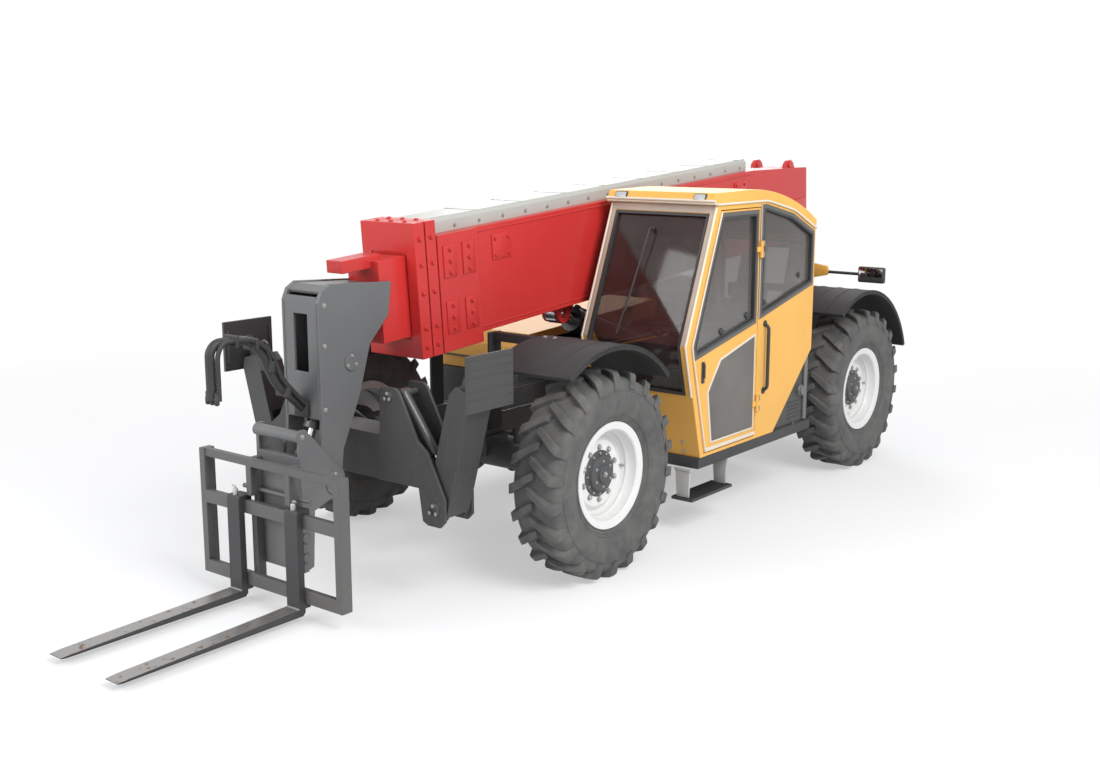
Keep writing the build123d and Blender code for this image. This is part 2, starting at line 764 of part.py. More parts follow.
leg_half = 85
foot_drop = 105             # from the foot's pin to its sole plate
sole_thickness = 20
sole_half_length = 200
sole_half_width = 165
leg_length = hypot(leg_foot_pin[0] - leg_pivot[0], leg_foot_pin[1] - leg_pivot[1])
outrigger_ram_size = dict(
    barrel_radius=42, rod_radius=22, barrel_length=430, gland=40, gland_lip=4,
    eye_radius=36, eye_half=40, pin_radius=22,
    rod_eye_radius=36, rod_pin_radius=22, retract=0,
)
for side_name, side in (("left", 1), ("right", -1)):
    with BuildPart() as leg:
        outline = [
            leg_point(side, -60, -70), leg_point(side, -60, 70), leg_point(side, 0, leg_half),
            leg_point(side, leg_length - 120, leg_half), leg_point(side, leg_length - 60, 50),
            leg_point(side, leg_length - 60, -50), leg_point(side, leg_length - 120, -leg_half), leg_point(side, 0, -leg_half),
        ]
        front_slab(outline, (leg_front, leg_back))
        # Open on the inside between its two plates, for the cylinder.
        cavity = [
            leg_point(side, -80, -leg_half - 5), leg_point(side, -80, leg_half + 40),
            leg_point(side, 420, leg_half + 40), leg_point(side, 300, -30), leg_point(side, 60, -60),
        ]
        front_slab(cavity, (leg_front + 25, leg_back - 25), Mode.SUBTRACT)
        for y0, y1 in ((leg_front, leg_front + 25), (leg_back - 25, leg_back)):
            bar((side * leg_pivot[0], y0, leg_pivot[1]), (side * leg_pivot[0], y1, leg_pivot[1]), 85)
        # Clevis that carries the foot.
        for y0, y1 in ((leg_middle - 55, leg_middle - 30), (leg_middle + 30, leg_middle + 55)):
            front_slab(
                [
                    leg_point(side, leg_length - 70, -45), leg_point(side, leg_length - 70, 45),
                    leg_point(side, leg_length, 38), leg_point(side, leg_length + 35, 0), leg_point(side, leg_length, -38),
                ],
                (y0, y1),
            )
        bar(
            (side * leg_pivot[0], leg_front - 5, leg_pivot[1]),
            (side * leg_pivot[0], leg_back + 5, leg_pivot[1]),
            leg_pin_radius + running_gap,
            Mode.SUBTRACT,
        )
        bar(
            (side * leg_foot_pin[0], leg_middle - 80, leg_foot_pin[1]),
            (side * leg_foot_pin[0], leg_middle + 80, leg_foot_pin[1]),
            20 + running_gap,
            Mode.SUBTRACT,
        )
        bar(
            (side * leg_ram_pin[0], leg_front - 5, leg_ram_pin[1]),
            (side * leg_ram_pin[0], leg_back + 5, leg_ram_pin[1]),
            22,
            Mode.SUBTRACT,
        )
    save(leg, f"{side_name}_outrigger")

    with BuildPart() as foot:
        # Stowed with its sole facing outwards.
        pin_x, pin_z = leg_foot_pin
        sole_x = pin_x + foot_drop
        block(
            (side * sole_x, side * (sole_x + sole_thickness)),
            (leg_middle - sole_half_length, leg_middle + sole_half_length),
            (pin_z - sole_half_width, pin_z + sole_half_width),
        )
        half_web = [(pin_x - 32, 28), (pin_x + 45, 28), (sole_x, 60)]
        web = [(side * x, pin_z + z) for x, z in half_web] + [(side * x, pin_z - z) for x, z in reversed(half_web)]
        front_slab(web, (leg_middle - 24, leg_middle + 24))
        bar(
            (side * leg_foot_pin[0], leg_middle - 65, leg_foot_pin[1]),
            (side * leg_foot_pin[0], leg_middle + 65, leg_foot_pin[1]),
            20,
        )
    save(foot, f"{side_name}_outrigger_foot")

    ram_start = (side * leg_ram_foot[0], leg_middle, leg_ram_foot[1])
    ram_end = (side * leg_ram_pin[0], leg_middle, leg_ram_pin[1])
    with BuildPart() as leg_barrel:
        ram_barrel(ram_start, ram_end, (0, 1, 0), outrigger_ram_size)
    save(leg_barrel, f"{side_name}_outrigger_barrel")
    with BuildPart() as leg_rod:
        ram_rod(ram_start, ram_end, (0, 1, 0), outrigger_ram_size)
    save(leg_rod, f"{side_name}_outrigger_rod")

# ---------------------------------------------------------------- cab
side_gap = 44               # between the frame plates and the cab or the hood
cab_in = rail_out + side_gap
cab_out = 1200
cab_wall = 50
cab_floor = 550
belt = (-892, 1359)         # (y, z), the foremost corner of the cab's nose
screen_top = (-523, 2300)
nose_low = (-690, cab_floor)
cab_back = 925
back_low = (342, cab_floor)
back_knee = (cab_back, 1119)
roof_bend = (150, 2300)     # the roof line falls to the rear from here
roof_fall = (560, 2215)
roof_low_rear = (cab_back, 2055)
roof_rail = 48              # height of the shell left above a window
post_y = 60                 # rear edge of the door
platform_low = 470

cab_outline = [nose_low, belt, screen_top, roof_bend, roof_fall, roof_low_rear, back_knee, back_low]


def inset(outline, gap):
    """The outline shrunk by gap all round, as a list of corners. A negative gap grows it."""
    with BuildSketch(Plane.XY) as shape:
        with BuildLine():
            Polyline(*outline, close=True)
        make_face()
        offset(amount=-gap, kind=Kind.INTERSECTION)
    edges = shape.sketch.faces()[0].outer_wire().order_edges()
    return [(edge.start_point().X, edge.start_point().Y) for edge in edges]


door_outline = [
    (-640, cab_floor + 30), (-836, 1352), (-483, 2258), (post_y, 2258), (post_y, cab_floor + 30),
]
door_window = [(-790, 1350), (-768, 1288), (post_y - 50, 1448), (post_y - 50, 2218), (-452, 2218)]
# The upper edges of the windows behind the door, from front to rear.
window_tops = [
    (roof_bend[0] - 4, roof_bend[1] - roof_rail), (roof_fall[0] - 12, roof_fall[1] - roof_rail), (cab_back - 50, 2025),
]
right_window = [(-700, 1250), (-812, 1400), (-482, 2240), *window_tops, (cab_back - 50, 1250)]
quarter_window = [(post_y + 50, 1480), (post_y + 50, roof_bend[1] - roof_rail), *window_tops, (cab_back - 50, 1652)]
screen_low = 1010           # the windscreen's lower and upper edges
screen_high = 2240
platform_back = 950

door_hinges = (820, 1960)   # heights
knuckle_radius = 14
hinge_pin_radius = 7
hinge_x = cab_out + knuckle_radius
hinge_y = post_y + panel_gap / 2

with BuildPart() as cab_frame:
    side_slab(cab_outline, (cab_in, cab_out))
    side_slab(inset(cab_outline, cab_wall), (cab_in + cab_wall, cab_out - cab_wall), Mode.SUBTRACT)
    # Door way and rear quarter window in the left wall.
    side_slab(inset(door_outline, -panel_gap), (cab_out - cab_wall - 5, cab_out + 5), Mode.SUBTRACT)
    side_slab(quarter_window, (cab_out - cab_wall - 5, cab_out + 5), Mode.SUBTRACT)
    # Right-hand windows.
    side_slab(right_window, (cab_in - 5, cab_in + cab_wall + 5), Mode.SUBTRACT)
    # Windscreen and rear window: openings cut from front to back.
    screen_across = (cab_in + 60, cab_out - 60)
    rear_window = [(cab_in + 80, 1300), (cab_out - 80, 1300), (cab_out - 80, 1960), (cab_in + 80, 1960)]
    block(screen_across, (-950, -480), (screen_low, screen_high), Mode.SUBTRACT)
    front_slab(rear_window, (cab_back - 80, cab_back + 30), Mode.SUBTRACT)
    # Hinge leaves and pins that carry the door.
    for z in door_hinges:
        for low in (z - 60, z + 20):
            block((cab_out, hinge_x), (hinge_y, post_y + 50), (low, low + 40))
            bar((hinge_x, hinge_y, low), (hinge_x, hinge_y, low + 40), knuckle_radius)
        bar((hinge_x, hinge_y, z - 60), (hinge_x, hinge_y, z + 60), hinge_pin_radius)
save(cab_frame, "cab_frame")

roof_front = (screen_top[0] - 30, screen_top[1])
with BuildPart() as cab_roof:
    with BuildSketch(Plane.YZ.offset(cab_in - 5)) as roof_side:
        with BuildLine():
            Polyline(roof_front, (roof_front[0] - 28, 2322), (roof_front[0], 2384), (-100, 2392))
            ThreePointArc((-100, 2392), (480, 2315), (cab_back + 8, 2130))
            Polyline((cab_back + 8, 2130), roof_low_rear, roof_fall, roof_bend, roof_front)
        make_face()
    extrude(roof_side.sketch, amount=cab_out - cab_in + 10)
save(cab_roof, "cab_roof")

glass = 8
pane_depth = 22             # from the wall's face to the pane, front to back
with BuildPart() as cab_glass:
    # Panes stand in the middle of the walls, a hair clear of the edges of their openings.
    side_slab(inset(right_window, running_gap), (cab_in + 20, cab_in + 20 + glass))
    side_slab(inset(quarter_window, running_gap), (cab_out - 30, cab_out - 30 + glass))
    front_slab(inset(rear_window, running_gap), (cab_back - 30, cab_back - 30 + glass))
    # The windscreen is one pane, bent at the belt as the wall is.
    pane = []
    for wall_end, z in ((nose_low, screen_low + running_gap), (screen_top, screen_high - running_gap)):
        share = (z - belt[1]) / (wall_end[1] - belt[1])
        pane.append((belt[0] + (wall_end[0] - belt[0]) * share + pane_depth, z))
    pane.insert(1, (belt[0] + pane_depth, belt[1]))
    side_slab(
        pane + [(y + glass, z) for y, z in reversed(pane)],
        (screen_across[0] + running_gap, screen_across[1] - running_gap),
    )
save(cab_glass, "cab_glass")

door_in = cab_out - cab_wall + 2
with BuildPart() as cab_door:
    side_slab(door_outline, (door_in, cab_out))
    side_slab(door_window, (door_in - 5, cab_out + 5), Mode.SUBTRACT)
    for z in door_hinges:
        span = (z - 20 + running_gap, z + 20 - running_gap)
        block((cab_out, hinge_x), (post_y - 50, hinge_y), span)
        bar((hinge_x, hinge_y, span[0]), (hinge_x, hinge_y, span[1]), knuckle_radius)
        bar((hinge_x, hinge_y, z - 30), (hinge_x, hinge_y, z + 30), hinge_pin_radius + running_gap, Mode.SUBTRACT)
save(cab_door, "cab_door")
with BuildPart() as door_glass:
    side_slab(inset(door_window, running_gap), (cab_out - 30, cab_out - 30 + glass))
save(door_glass, "door_glass")

with BuildPart() as cab_platform:
    block((rail_out, cab_out - 10), (-700, platform_back), (platform_low, cab_floor))
save(cab_platform, "cab_platform")

with BuildPart() as cab_step:
    for y in (-745, -245):
        block((1080, 1120), (y, y + 20), (238, platform_low))
    block((1010, 1185), (-760, -215), (238, 266))
save(cab_step, "cab_step")

with BuildPart() as fuel_tank:
    side_slab(
        [(back_low[0] + 40, cab_floor), (platform_back - 10, cab_floor), (platform_back - 10, 1095)],
        (cab_in, cab_out - 30),
    )
save(fuel_tank, "fuel_tank")

floor_top = cab_floor + cab_wall
with BuildPart() as operator_seat:
    side_slab([(-120, floor_top), (240, floor_top), (500, 900), (-120, 900)], (560, 940))
    side_slab([(-170, 900), (500, 900), (520, 1020), (-170, 1020), (-200, 960)], (500, 1000))
    side_slab([(420, 1020), (520, 1020), (640, 1640), (560, 1660)], (510, 990))
save(operator_seat, "operator_seat")

with BuildPart() as steering_console:
    block((480, 1020), (-630, -500), (floor_top, 640))
    side_slab([(-600, 630), (-520, 630), (-470, 1180), (-520, 1190)], (700, 800))
    side_slab([(-640, 1180), (-420, 1120), (-410, 1160), (-620, 1240)], (560, 940))
    bar((750, -480, 1180), (750, -390, 1330), 22)
    wheel_axis = Vector(0, 90, 150).normalized()
    with BuildSketch(Plane(origin=(750, -390, 1330), z_dir=wheel_axis)) as wheel_ring:
        Circle(190)
    extrude(wheel_ring.sketch, amount=24)
save(steering_console, "steering_console")

# ---------------------------------------------------------------- engine side
hood_in = -rail_out - side_gap
hood_out = -1160
hood_front = -900
hood_back = 960
hood_seam = 1000
hood_top_front = 1290
hood_top_back = 1390
hood_wall = 40
hood_hinge_x = hood_in - hood_wall / 2
hood_hinge_z = 1215
hood_hinges = (-500, 560)   # the middles of the two hinges, front to back
hood_knuckle = 20
hood_pin_radius = 9

with BuildPart() as engine_cradle:
    block((-rail_out, hood_out), (hood_front, hood_back), (platform_low, cab_floor))
    side_walls = (hood_front + hood_wall + panel_gap, hood_back - hood_wall - panel_gap)
    block((hood_in, hood_in - hood_wall), side_walls, (cab_floor - 5, hood_hinge_z - hood_knuckle - panel_gap))
    for y in hood_hinges:
        for low in (y - 90, y + 40):
            block((hood_hinge_x - 14, hood_hinge_x + 14), (low, low + 50), (hood_seam, hood_hinge_z))
            bar((hood_hinge_x, low, hood_hinge_z), (hood_hinge_x, low + 50, hood_hinge_z), hood_knuckle - 2)
        bar((hood_hinge_x, y - 90, hood_hinge_z), (hood_hinge_x, y + 90, hood_hinge_z), hood_pin_radius)
    block((hood_out + hood_wall, hood_out), (hood_front, hood_back), (cab_floor, hood_seam - panel_gap))
    block((hood_in, hood_out), (hood_front, hood_front + hood_wall), (cab_floor, hood_seam - panel_gap))
    block((hood_in, hood_out), (hood_back - hood_wall, hood_back), (cab_floor, hood_seam - panel_gap))
save(engine_cradle, "engine_cradle")

with BuildPart() as engine_hood:
    hood_outline = [
        (hood_front, hood_seam), (hood_back, hood_seam), (hood_back, hood_top_back),
        (hood_front + 160, hood_top_front), (hood_front + 40, hood_top_front - 90),
    ]
    side_slab(hood_outline, (hood_out, hood_in))
    side_slab(
        [
            (hood_front + hood_wall, hood_seam - 5), (hood_back - hood_wall, hood_seam - 5),
            (hood_back - hood_wall, hood_top_back - hood_wall),
            (hood_front + 175, hood_top_front - hood_wall), (hood_front + 40 + hood_wall, hood_top_front - 115),
        ],
        (hood_out + hood_wall, hood_in - hood_wall),
        Mode.SUBTRACT,
    )
    # The inner wall stands on the cradle; the lid keeps only a lip above its hinges.
    lip_low = hood_hinge_z + hood_knuckle + panel_gap
    block((hood_in + 5, hood_in - hood_wall - panel_gap), (hood_front - 5, hood_back + 5), (hood_seam - 5, lip_low), Mode.SUBTRACT)
    for y in hood_hinges:
        span = (y - 40 + running_gap, y + 40 - running_gap)
        block((hood_hinge_x - 14, hood_hinge_x + 14), span, (hood_hinge_z, lip_low + 10))
        bar((hood_hinge_x, span[0], hood_hinge_z), (hood_hinge_x, span[1], hood_hinge_z), hood_knuckle - 2)
        bar((hood_hinge_x, y - 45, hood_hinge_z), (hood_hinge_x, y + 45, hood_hinge_z),
            hood_pin_radius + running_gap, Mode.SUBTRACT)
save(engine_hood, "engine_hood")

with BuildPart() as engine:
    block((-1060, -420), (-560, 620), (cab_floor, 1200))
save(engine, "engine")

# ---------------------------------------------------------------- fenders, counterweight, mirror
fender_in = 800
fender_out = 832
with BuildPart() as fenders:
    for axle_y, start, end in ((front_axle_y, 43, 124), (rear_axle_y, 20, 125)):
        for side in (-1, 1):
            span = sorted((side * 640, side * 1262))
            with BuildSketch(Plane.YZ.offset(span[0])) as arch:
                with Locations((axle_y, axle_z)):
                    Circle(fender_out)
                    Circle(fender_in, mode=Mode.SUBTRACT)
                with BuildLine():
                    reach = 2400
                    a0, a1 = radians(start), radians(end)
                    mid_angle = (a0 + a1) / 2
                    Polyline(
                        (axle_y, axle_z),
                        (axle_y + reach * cos(a0), axle_z + reach * sin(a0)),
                        (axle_y + reach * cos(mid_angle), axle_z + reach * sin(mid_angle)),
                        (axle_y + reach * cos(a1), axle_z + reach * sin(a1)),
                        close=True,
                    )
                make_face(mode=Mode.INTERSECT)
            extrude(arch.sketch, amount=span[1] - span[0])
            block(
                (side * rail_out, side * 660),
                (axle_y - 30, axle_y + 30),
                (axle_z + fender_in - 30, axle_z + fender_out - 4),
            )
            block(
                (side * rail_out, side * (rail_out + 20)),
                (axle_y - 60, axle_y + 60),
                (axle_notch_z + 40, axle_z + fender_out - 4),
            )
save(fenders, "fenders")

with BuildPart() as counterweight:
    block((-820, 820), (rail_rear, rail_rear + counterweight_depth), (520, 1150))
    chamfer(counterweight.edges().filter_by(Axis.Z).group_by(Axis.Y)[-1], 60)
save(counterweight, "counterweight")

mirror_y = rear_axle_y + 350
with BuildPart() as rear_mirror:
    block((rail_out, rail_out + 12), (mirror_y - 60, mirror_y + 60), (1240, 1300))
    bar((rail_out, mirror_y, 1270), (420, mirror_y, 1270), 14)
    bar((420, mirror_y, 1256), (420, mirror_y, 1600), 14)
    bar((406, mirror_y, 1590), (1020, mirror_y, 1590), 12)
    block((1000, 1240), (mirror_y - 30, mirror_y + 30), (1520, 1660))
save(rear_mirror, "rear_mirror")
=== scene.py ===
import math

import bmesh
import bpy
from mathutils import Matrix, Vector
from mathutils.bvhtree import BVHTree


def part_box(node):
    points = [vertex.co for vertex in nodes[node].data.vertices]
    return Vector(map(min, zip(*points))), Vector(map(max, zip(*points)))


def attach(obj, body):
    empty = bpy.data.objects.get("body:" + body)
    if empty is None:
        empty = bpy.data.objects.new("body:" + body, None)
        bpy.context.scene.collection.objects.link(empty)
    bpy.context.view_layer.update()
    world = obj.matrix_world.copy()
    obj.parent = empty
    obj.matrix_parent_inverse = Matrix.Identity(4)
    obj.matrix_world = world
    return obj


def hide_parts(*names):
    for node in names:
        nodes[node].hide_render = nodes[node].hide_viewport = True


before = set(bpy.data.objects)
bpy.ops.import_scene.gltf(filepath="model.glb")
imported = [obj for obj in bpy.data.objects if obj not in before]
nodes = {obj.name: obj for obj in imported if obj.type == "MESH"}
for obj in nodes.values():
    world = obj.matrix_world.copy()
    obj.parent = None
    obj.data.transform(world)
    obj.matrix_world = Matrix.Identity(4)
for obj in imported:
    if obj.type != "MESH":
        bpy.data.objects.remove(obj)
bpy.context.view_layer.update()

# ---------- studio floor, lights and camera
# A pale studio floor in a white surround, lit softly from the cab's side. This file works in
# millimetres from the ground midway between the axles; to_frame gives the frame's metres.
wheelbase_middle = sum(corner.y for end in ("front", "rear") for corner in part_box(f"{end}_left_tyre")) / 4
to_frame = Matrix.Translation((0, wheelbase_middle, 0)) @ Matrix.Scale(0.001, 4)


class Num:
    """A shader socket that adds, subtracts and multiplies like a number."""

    def __init__(self, shader, socket):
        self.shader, self.socket = shader, socket

    def math(self, operation, first, second):
        return self.shader.add("Math", {0: first, 1: second}, operation=operation)

    def __add__(self, other):
        return self.math("ADD", self, other)

    __radd__ = __add__

    def __sub__(self, other):
        return self.math("SUBTRACT", self, other)

    def __rsub__(self, other):
        return self.math("SUBTRACT", other, self)

    def __mul__(self, other):
        return self.math("MULTIPLY", self, other)

    __rmul__ = __mul__

    def over(self, low, high):
        """0 below low, 1 above high, and an even slope in between."""
        return self.shader.add("MapRange", {"Value": self, "From Min": low, "From Max": high}, clamp=True)


class Shader:
    """A material's node tree. The slot argument is not used."""

    def __init__(self, name, slot=""):
        self.material = bpy.data.materials.new(name)
        self.material.use_nodes = True
        self.tree = self.material.node_tree
        self.tree.nodes.clear()
        self.output = self.tree.nodes.new("ShaderNodeOutputMaterial")

    def add(self, kind, sockets=None, out=0, **settings):
        """Makes any node and gives back one of its sockets."""
        made = self.tree.nodes.new("ShaderNode" + kind)
        for name, value in settings.items():
            setattr(made, name, value)
        for key, value in (sockets or {}).items():
            target = made.inputs[key]
            if isinstance(value, Num):
                self.tree.links.new(value.socket, target)
            elif target.type == "RGBA" and len(value) == 3:
                target.default_value = (*value, 1)
            else:
                target.default_value = value
        return Num(self, made.outputs[out])

    def place(self):
        return self.add("TexCoord", out="Object")

    def stretched(self, *scale):
        """Object coordinates scaled along each axis, for streaks and brushing."""
        return self.add("Mapping", {"Vector": self.place(), "Scale": scale})

    def noise(self, scale, detail=3.0, vector=None, roughness=0.5):
        sockets = {"Scale": scale, "Detail": detail, "Roughness": roughness}
        return self.add("TexNoise", {"Vector": vector or self.place(), **sockets})

    def bands(self, scale, **settings):
        return self.add("TexWave", {"Vector": self.place(), "Scale": scale}, 1, **settings)

    def mix(self, factor, first, second):
        return self.add("Mix", {0: factor, 6: first, 7: second}, 2, data_type="RGBA")

    def shades(self, factor, colour, low, high, lift=0.0):
        """A colour from its darker to its lighter shade."""
        dark, light = (tuple(min(1, c * share) for c in colour) for share in (low, high))
        return self.mix(factor, dark, tuple(c + lift for c in light))

    def along(self, axis, vector=None):
        """How far along an axis a place is, or another vector reaches."""
        return self.add("SeparateXYZ", {0: vector or self.place()}, axis)

    def facing_up(self):
        return self.along("Z", self.add("NewGeometry", out="Normal"))

    def bump(self, height, strength, distance, rounded=0.0):
        sockets = {"Height": height, "Strength": strength, "Distance": distance}
        if rounded:
            sockets["Normal"] = self.add("Bevel", {"Radius": rounded}, samples=4)
        return self.add("Bump", sockets)

    def shown(self, surface):
        self.tree.links.new(surface.socket, self.output.inputs["Surface"])
        return self.material

    def finish(self, **sockets):
        named = {key.replace("_", " "): value for key, value in sockets.items()}
        return self.shown(self.add("BsdfPrincipled", named))


def floor_material():
    """Lit near the machine, so that its shadow shows, and plain white further out."""
    shader = Shader("pale studio floor")
    tone = shader.mix(shader.noise(0.7, 2), (0.80, 0.80, 0.81), (0.84, 0.84, 0.84))
    lit = shader.add("BsdfDiffuse", {"Color": tone})
    glow = shader.add("Emission", {"Color": (1.0, 1.0, 1.0), "Strength": 1.0})
    reach = shader.add("VectorMath", {0: shader.place()}, "Value", operation="LENGTH")
    rays = [shader.add("LightPath", out=f"Is {kind} Ray") for kind in ("Camera", "Glossy", "Transmission")]
    seen = (rays[0] + rays[1] + rays[2]) * (0.45 + reach.over(4.0, 9.5) * 0.55)
    return shader.shown(shader.add("MixShader", {0: seen, 1: lit, 2: glow}))


bpy.ops.mesh.primitive_circle_add(vertices=96, radius=60, fill_type="NGON", location=(0, 0, 0))
studio_floor = bpy.context.object
studio_floor.name = "studio_floor"
studio_floor.data.materials.append(floor_material())


def surround():
    """A soft pale sky that the camera, reflections and clear panes see as plain white."""
    world = bpy.data.worlds.new("soft white surround")
    bpy.context.scene.world = world
    world.use_nodes = True
    tree = world.node_tree
    tree.nodes.clear()
    add, link = tree.nodes.new, tree.links.new
    rays, chosen = add("ShaderNodeLightPath"), add("ShaderNodeMixShader")
    seen = rays.outputs["Is Camera Ray"]
    for kind in ("Glossy", "Transmission"):
        either = add("ShaderNodeMath")
        either.operation = "MAXIMUM"
        link(seen, either.inputs[0])
        link(rays.outputs[f"Is {kind} Ray"], either.inputs[1])
        seen = either.outputs[0]
    link(seen, chosen.inputs[0])
    for socket, colour, strength in ((1, (0.93, 0.96, 1.0, 1), 0.58), (2, (1, 1, 1, 1), 1.0)):
        light = add("ShaderNodeBackground")
        light.inputs["Color"].default_value = colour
        light.inputs["Strength"].default_value = strength
        link(light.outputs[0], chosen.inputs[socket])
    link(chosen.outputs[0], add("ShaderNodeOutputWorld").inputs["Surface"])


surround()


def placed(name, data):
    """A new object in the scene."""
    made = bpy.data.objects.new(name, data)
    bpy.context.scene.collection.objects.link(made)
    return made


def aimed(name, data, place, target):
    """A lamp or camera in the scene, turned to look at its target."""
    holder = placed(name, data)
    place, target = to_frame @ Vector(place), to_frame @ Vector(target)
    holder.location = place
    holder.rotation_mode = "QUATERNION"
    holder.rotation_quaternion = (target - place).to_track_quat("-Z", "Y")
    return holder


for lamp_name, lamp_place, lamp_size, lamp_power in (
    ("key_lamp", (9000, -3500, 8500), 6, 1180),
    ("front_lamp", (-3500, -11000, 5500), 6, 560),
    ("back_lamp", (-6000, 8000, 7000), 5.5, 560),
):
    lamp = bpy.data.lights.new(lamp_name, "AREA")
    lamp.size, lamp.energy = lamp_size, lamp_power
    aimed(lamp_name, lamp, lamp_place, (0, 0, 1100))

camera_data = bpy.data.cameras.new("camera")
camera_data.sensor_width, camera_data.lens = 36, 42.5
camera_place = Vector((5870, -8250, 2800))
turn, drop = math.radians(38.5), math.radians(11.07)
view_line = Vector((-math.sin(turn) * math.cos(drop), math.cos(turn) * math.cos(drop), -math.sin(drop)))
bpy.context.scene.camera = aimed("camera", camera_data, camera_place, camera_place + view_line * 1000)
bpy.context.scene.view_settings.view_transform = "Standard"

# ---------- welded frame
# Two thick steel side plates with cross tubes and closing plates, welded up, shot blasted
# and sprayed in a satin dark grey. Its cast counterweight is bolted on behind.
dust_colour = (0.30, 0.26, 0.21)
edge_share = 0.35  # of a plate's thickness, at most, is taken by its eased edges
flanks = ((1, "+X"), (-1, "-X"))  # each side of the machine, and the way that it faces


def paint(name, slot, colour, roughness=0.38, coat=0.25, dust=0.35, rounded=0.004, peel=0.12, shine=0.5):
    """Sprayed paint over steel: cloudy tone, orange peel, and dust that gathers low and on flats."""
    shader = Shader(name, slot)
    cloud = shader.noise(1.6, 4)
    speck = shader.noise(46, 3, roughness=0.6)
    streak = shader.noise(5, 3, shader.stretched(6, 6, 0.7))
    low = 1 - shader.along("Z").over(0.25, 1.7)
    flat = shader.facing_up().over(0.55, 0.98)
    grime = (low * 0.55 + flat * 0.35 + 0.1) * (cloud * 0.6 + speck * 0.5 + streak * 0.35).over(0.45, 1.05)
    return shader.finish(
        Base_Color=shader.mix(grime * dust, shader.shades(cloud, colour, 0.88, 1.1), dust_colour),
        Roughness=roughness + grime * dust * 0.6 + speck * 0.06,
        Coat_Weight=coat,
        Coat_Roughness=0.16,
        Specular_IOR_Level=shine,
        Normal=shader.bump(shader.noise(420, 2) * 0.6 + speck * 0.4, peel, 0.002, rounded),
    )


def result_of(made):
    """A new mesh of an object with its modifiers applied."""
    return bpy.data.meshes.new_from_object(made.evaluated_get(bpy.context.evaluated_depsgraph_get()))


def settled(work, name="mesh"):
    """The mesh that a bmesh holds."""
    mesh = bpy.data.meshes.new(name)
    work.to_mesh(mesh)
    work.free()
    return mesh


def joined(parts):
    """A bmesh that takes in several meshes."""
    work = bmesh.new()
    for part in parts:
        work.from_mesh(part)
        bpy.data.meshes.remove(part)
    return work


def assembled(parts):
    """One clean mesh from several that are in millimetres, put into the frame's metres."""
    work = joined(parts)
    bmesh.ops.remove_doubles(work, verts=work.verts, dist=0.001)
    bmesh.ops.recalc_face_normals(work, faces=work.faces)
    mesh = settled(work)
    mesh.transform(to_frame)
    return mesh


def finished(name, mesh, material, body, angle=35, replaces=None):
    """Puts a mesh in the scene, smooth up to an angle, and fixes it to a body of the machine."""
    mesh.shade_smooth()
    mesh.set_sharp_from_angle(angle=math.radians(angle))
    mesh.materials.clear()
    mesh.materials.append(material)
    made = placed(name, mesh)
    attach(made, body)
    if replaces:
        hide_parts(replaces)
    return made


def piece(name, parts, material, body="chassis", angle=35, replaces=None):
    """Finishes parts that are in millimetres as one piece."""
    finished(name, assembled(parts), material, body, angle, replaces)


def cut_out(mesh, pockets):
    """A mesh with pockets, given as closed meshes, cut out of it."""
    block, cutter = placed("block", mesh), placed("cutter", assembled(pockets))
    cut = block.modifiers.new("pockets", "BOOLEAN")
    cut.operation, cut.solver, cut.object = "DIFFERENCE", "EXACT", cutter
    result = result_of(block)
    for made in (block, cutter):
        bpy.data.objects.remove(made)
    return result


def round_edges(work, edges, offset):
    bmesh.ops.bevel(work, geom=edges, offset=offset, segments=2, profile=0.6, affect="EDGES")


def eased(node, material, body="chassis", offset=4, pockets=()):
    """A CAD part with its sharp edges eased, as cut, bent and sprayed plate has them."""
    work = bmesh.new()
    work.from_mesh(nodes[node].data)
    bmesh.ops.remove_doubles(work, verts=work.verts, dist=0.00002)
    bmesh.ops.dissolve_limit(work, angle_limit=math.radians(1), verts=work.verts, edges=work.edges)
    # a flat face that runs round an opening is parted, or its mesh closes the opening
    bmesh.ops.connect_verts_concave(work, faces=work.faces[:])
    offset /= 1000
    sharp = [
        edge
        for edge in work.edges
        if len(edge.link_faces) == 2
        and edge.calc_face_angle(0) > math.radians(20)
        and edge.calc_length() > offset * 3
    ]
    round_edges(work, sharp, offset)
    mesh = settled(work, node)
    if pockets:
        mesh = cut_out(mesh, pockets)
    sheet = finished(f"{node}_sheet", mesh, material, body, replaces=node)
    # wide faces keep level normals, and only their eased edges turn
    sheet.modifiers.new("level faces", "WEIGHTED_NORMAL").keep_sharp = True


def skinned(rings, caps=False, loop=False):
    """A mesh skinned over rings of points, each ring with as many points as the next."""
    count, rows = len(rings[0]), len(rings)
    faces = []
    for row in range(rows if loop else rows - 1):
        for k in range(count):
            a, b = row * count + k, row * count + (k + 1) % count
            after = ((row + 1) % rows - row) * count
            faces.append((a, b, b + after, a + after))
    if caps:
        faces.append(tuple(reversed(range(count))))
        faces.append(tuple(range((rows - 1) * count, rows * count)))
    mesh = bpy.data.meshes.new("skin")
    mesh.from_pydata([tuple(point) for ring in rings for point in ring], [], faces)
    return mesh


def square_to(axis, a, b, along):
    """A point from two measures in a plane and one along the axis square to that plane."""
    return {"X": (along, a, b), "Y": (a, along, b), "Z": (a, b, along)}[axis]


def plate(outline, span, edge=3.0, axis="X"):
    """An outline cut from plate with eased edges. It is (y, z), (x, z) or (x, y) across X, Y or Z."""
    low, high = sorted(span)
    work = bmesh.new()
    rings = [[work.verts.new(square_to(axis, a, b, d)) for a, b in outline] for d in (low, high)]
    for ring in rings:
        work.faces.new(ring)
    for k in range(len(outline)):
        j = (k + 1) % len(outline)
        work.faces.new((rings[0][k], rings[0][j], rings[1][j], rings[1][k]))
    bmesh.ops.recalc_face_normals(work, faces=work.faces)
    edge = min(edge, (high - low) * edge_share)
    round_edges(work, work.edges[:], edge)
    return settled(work)


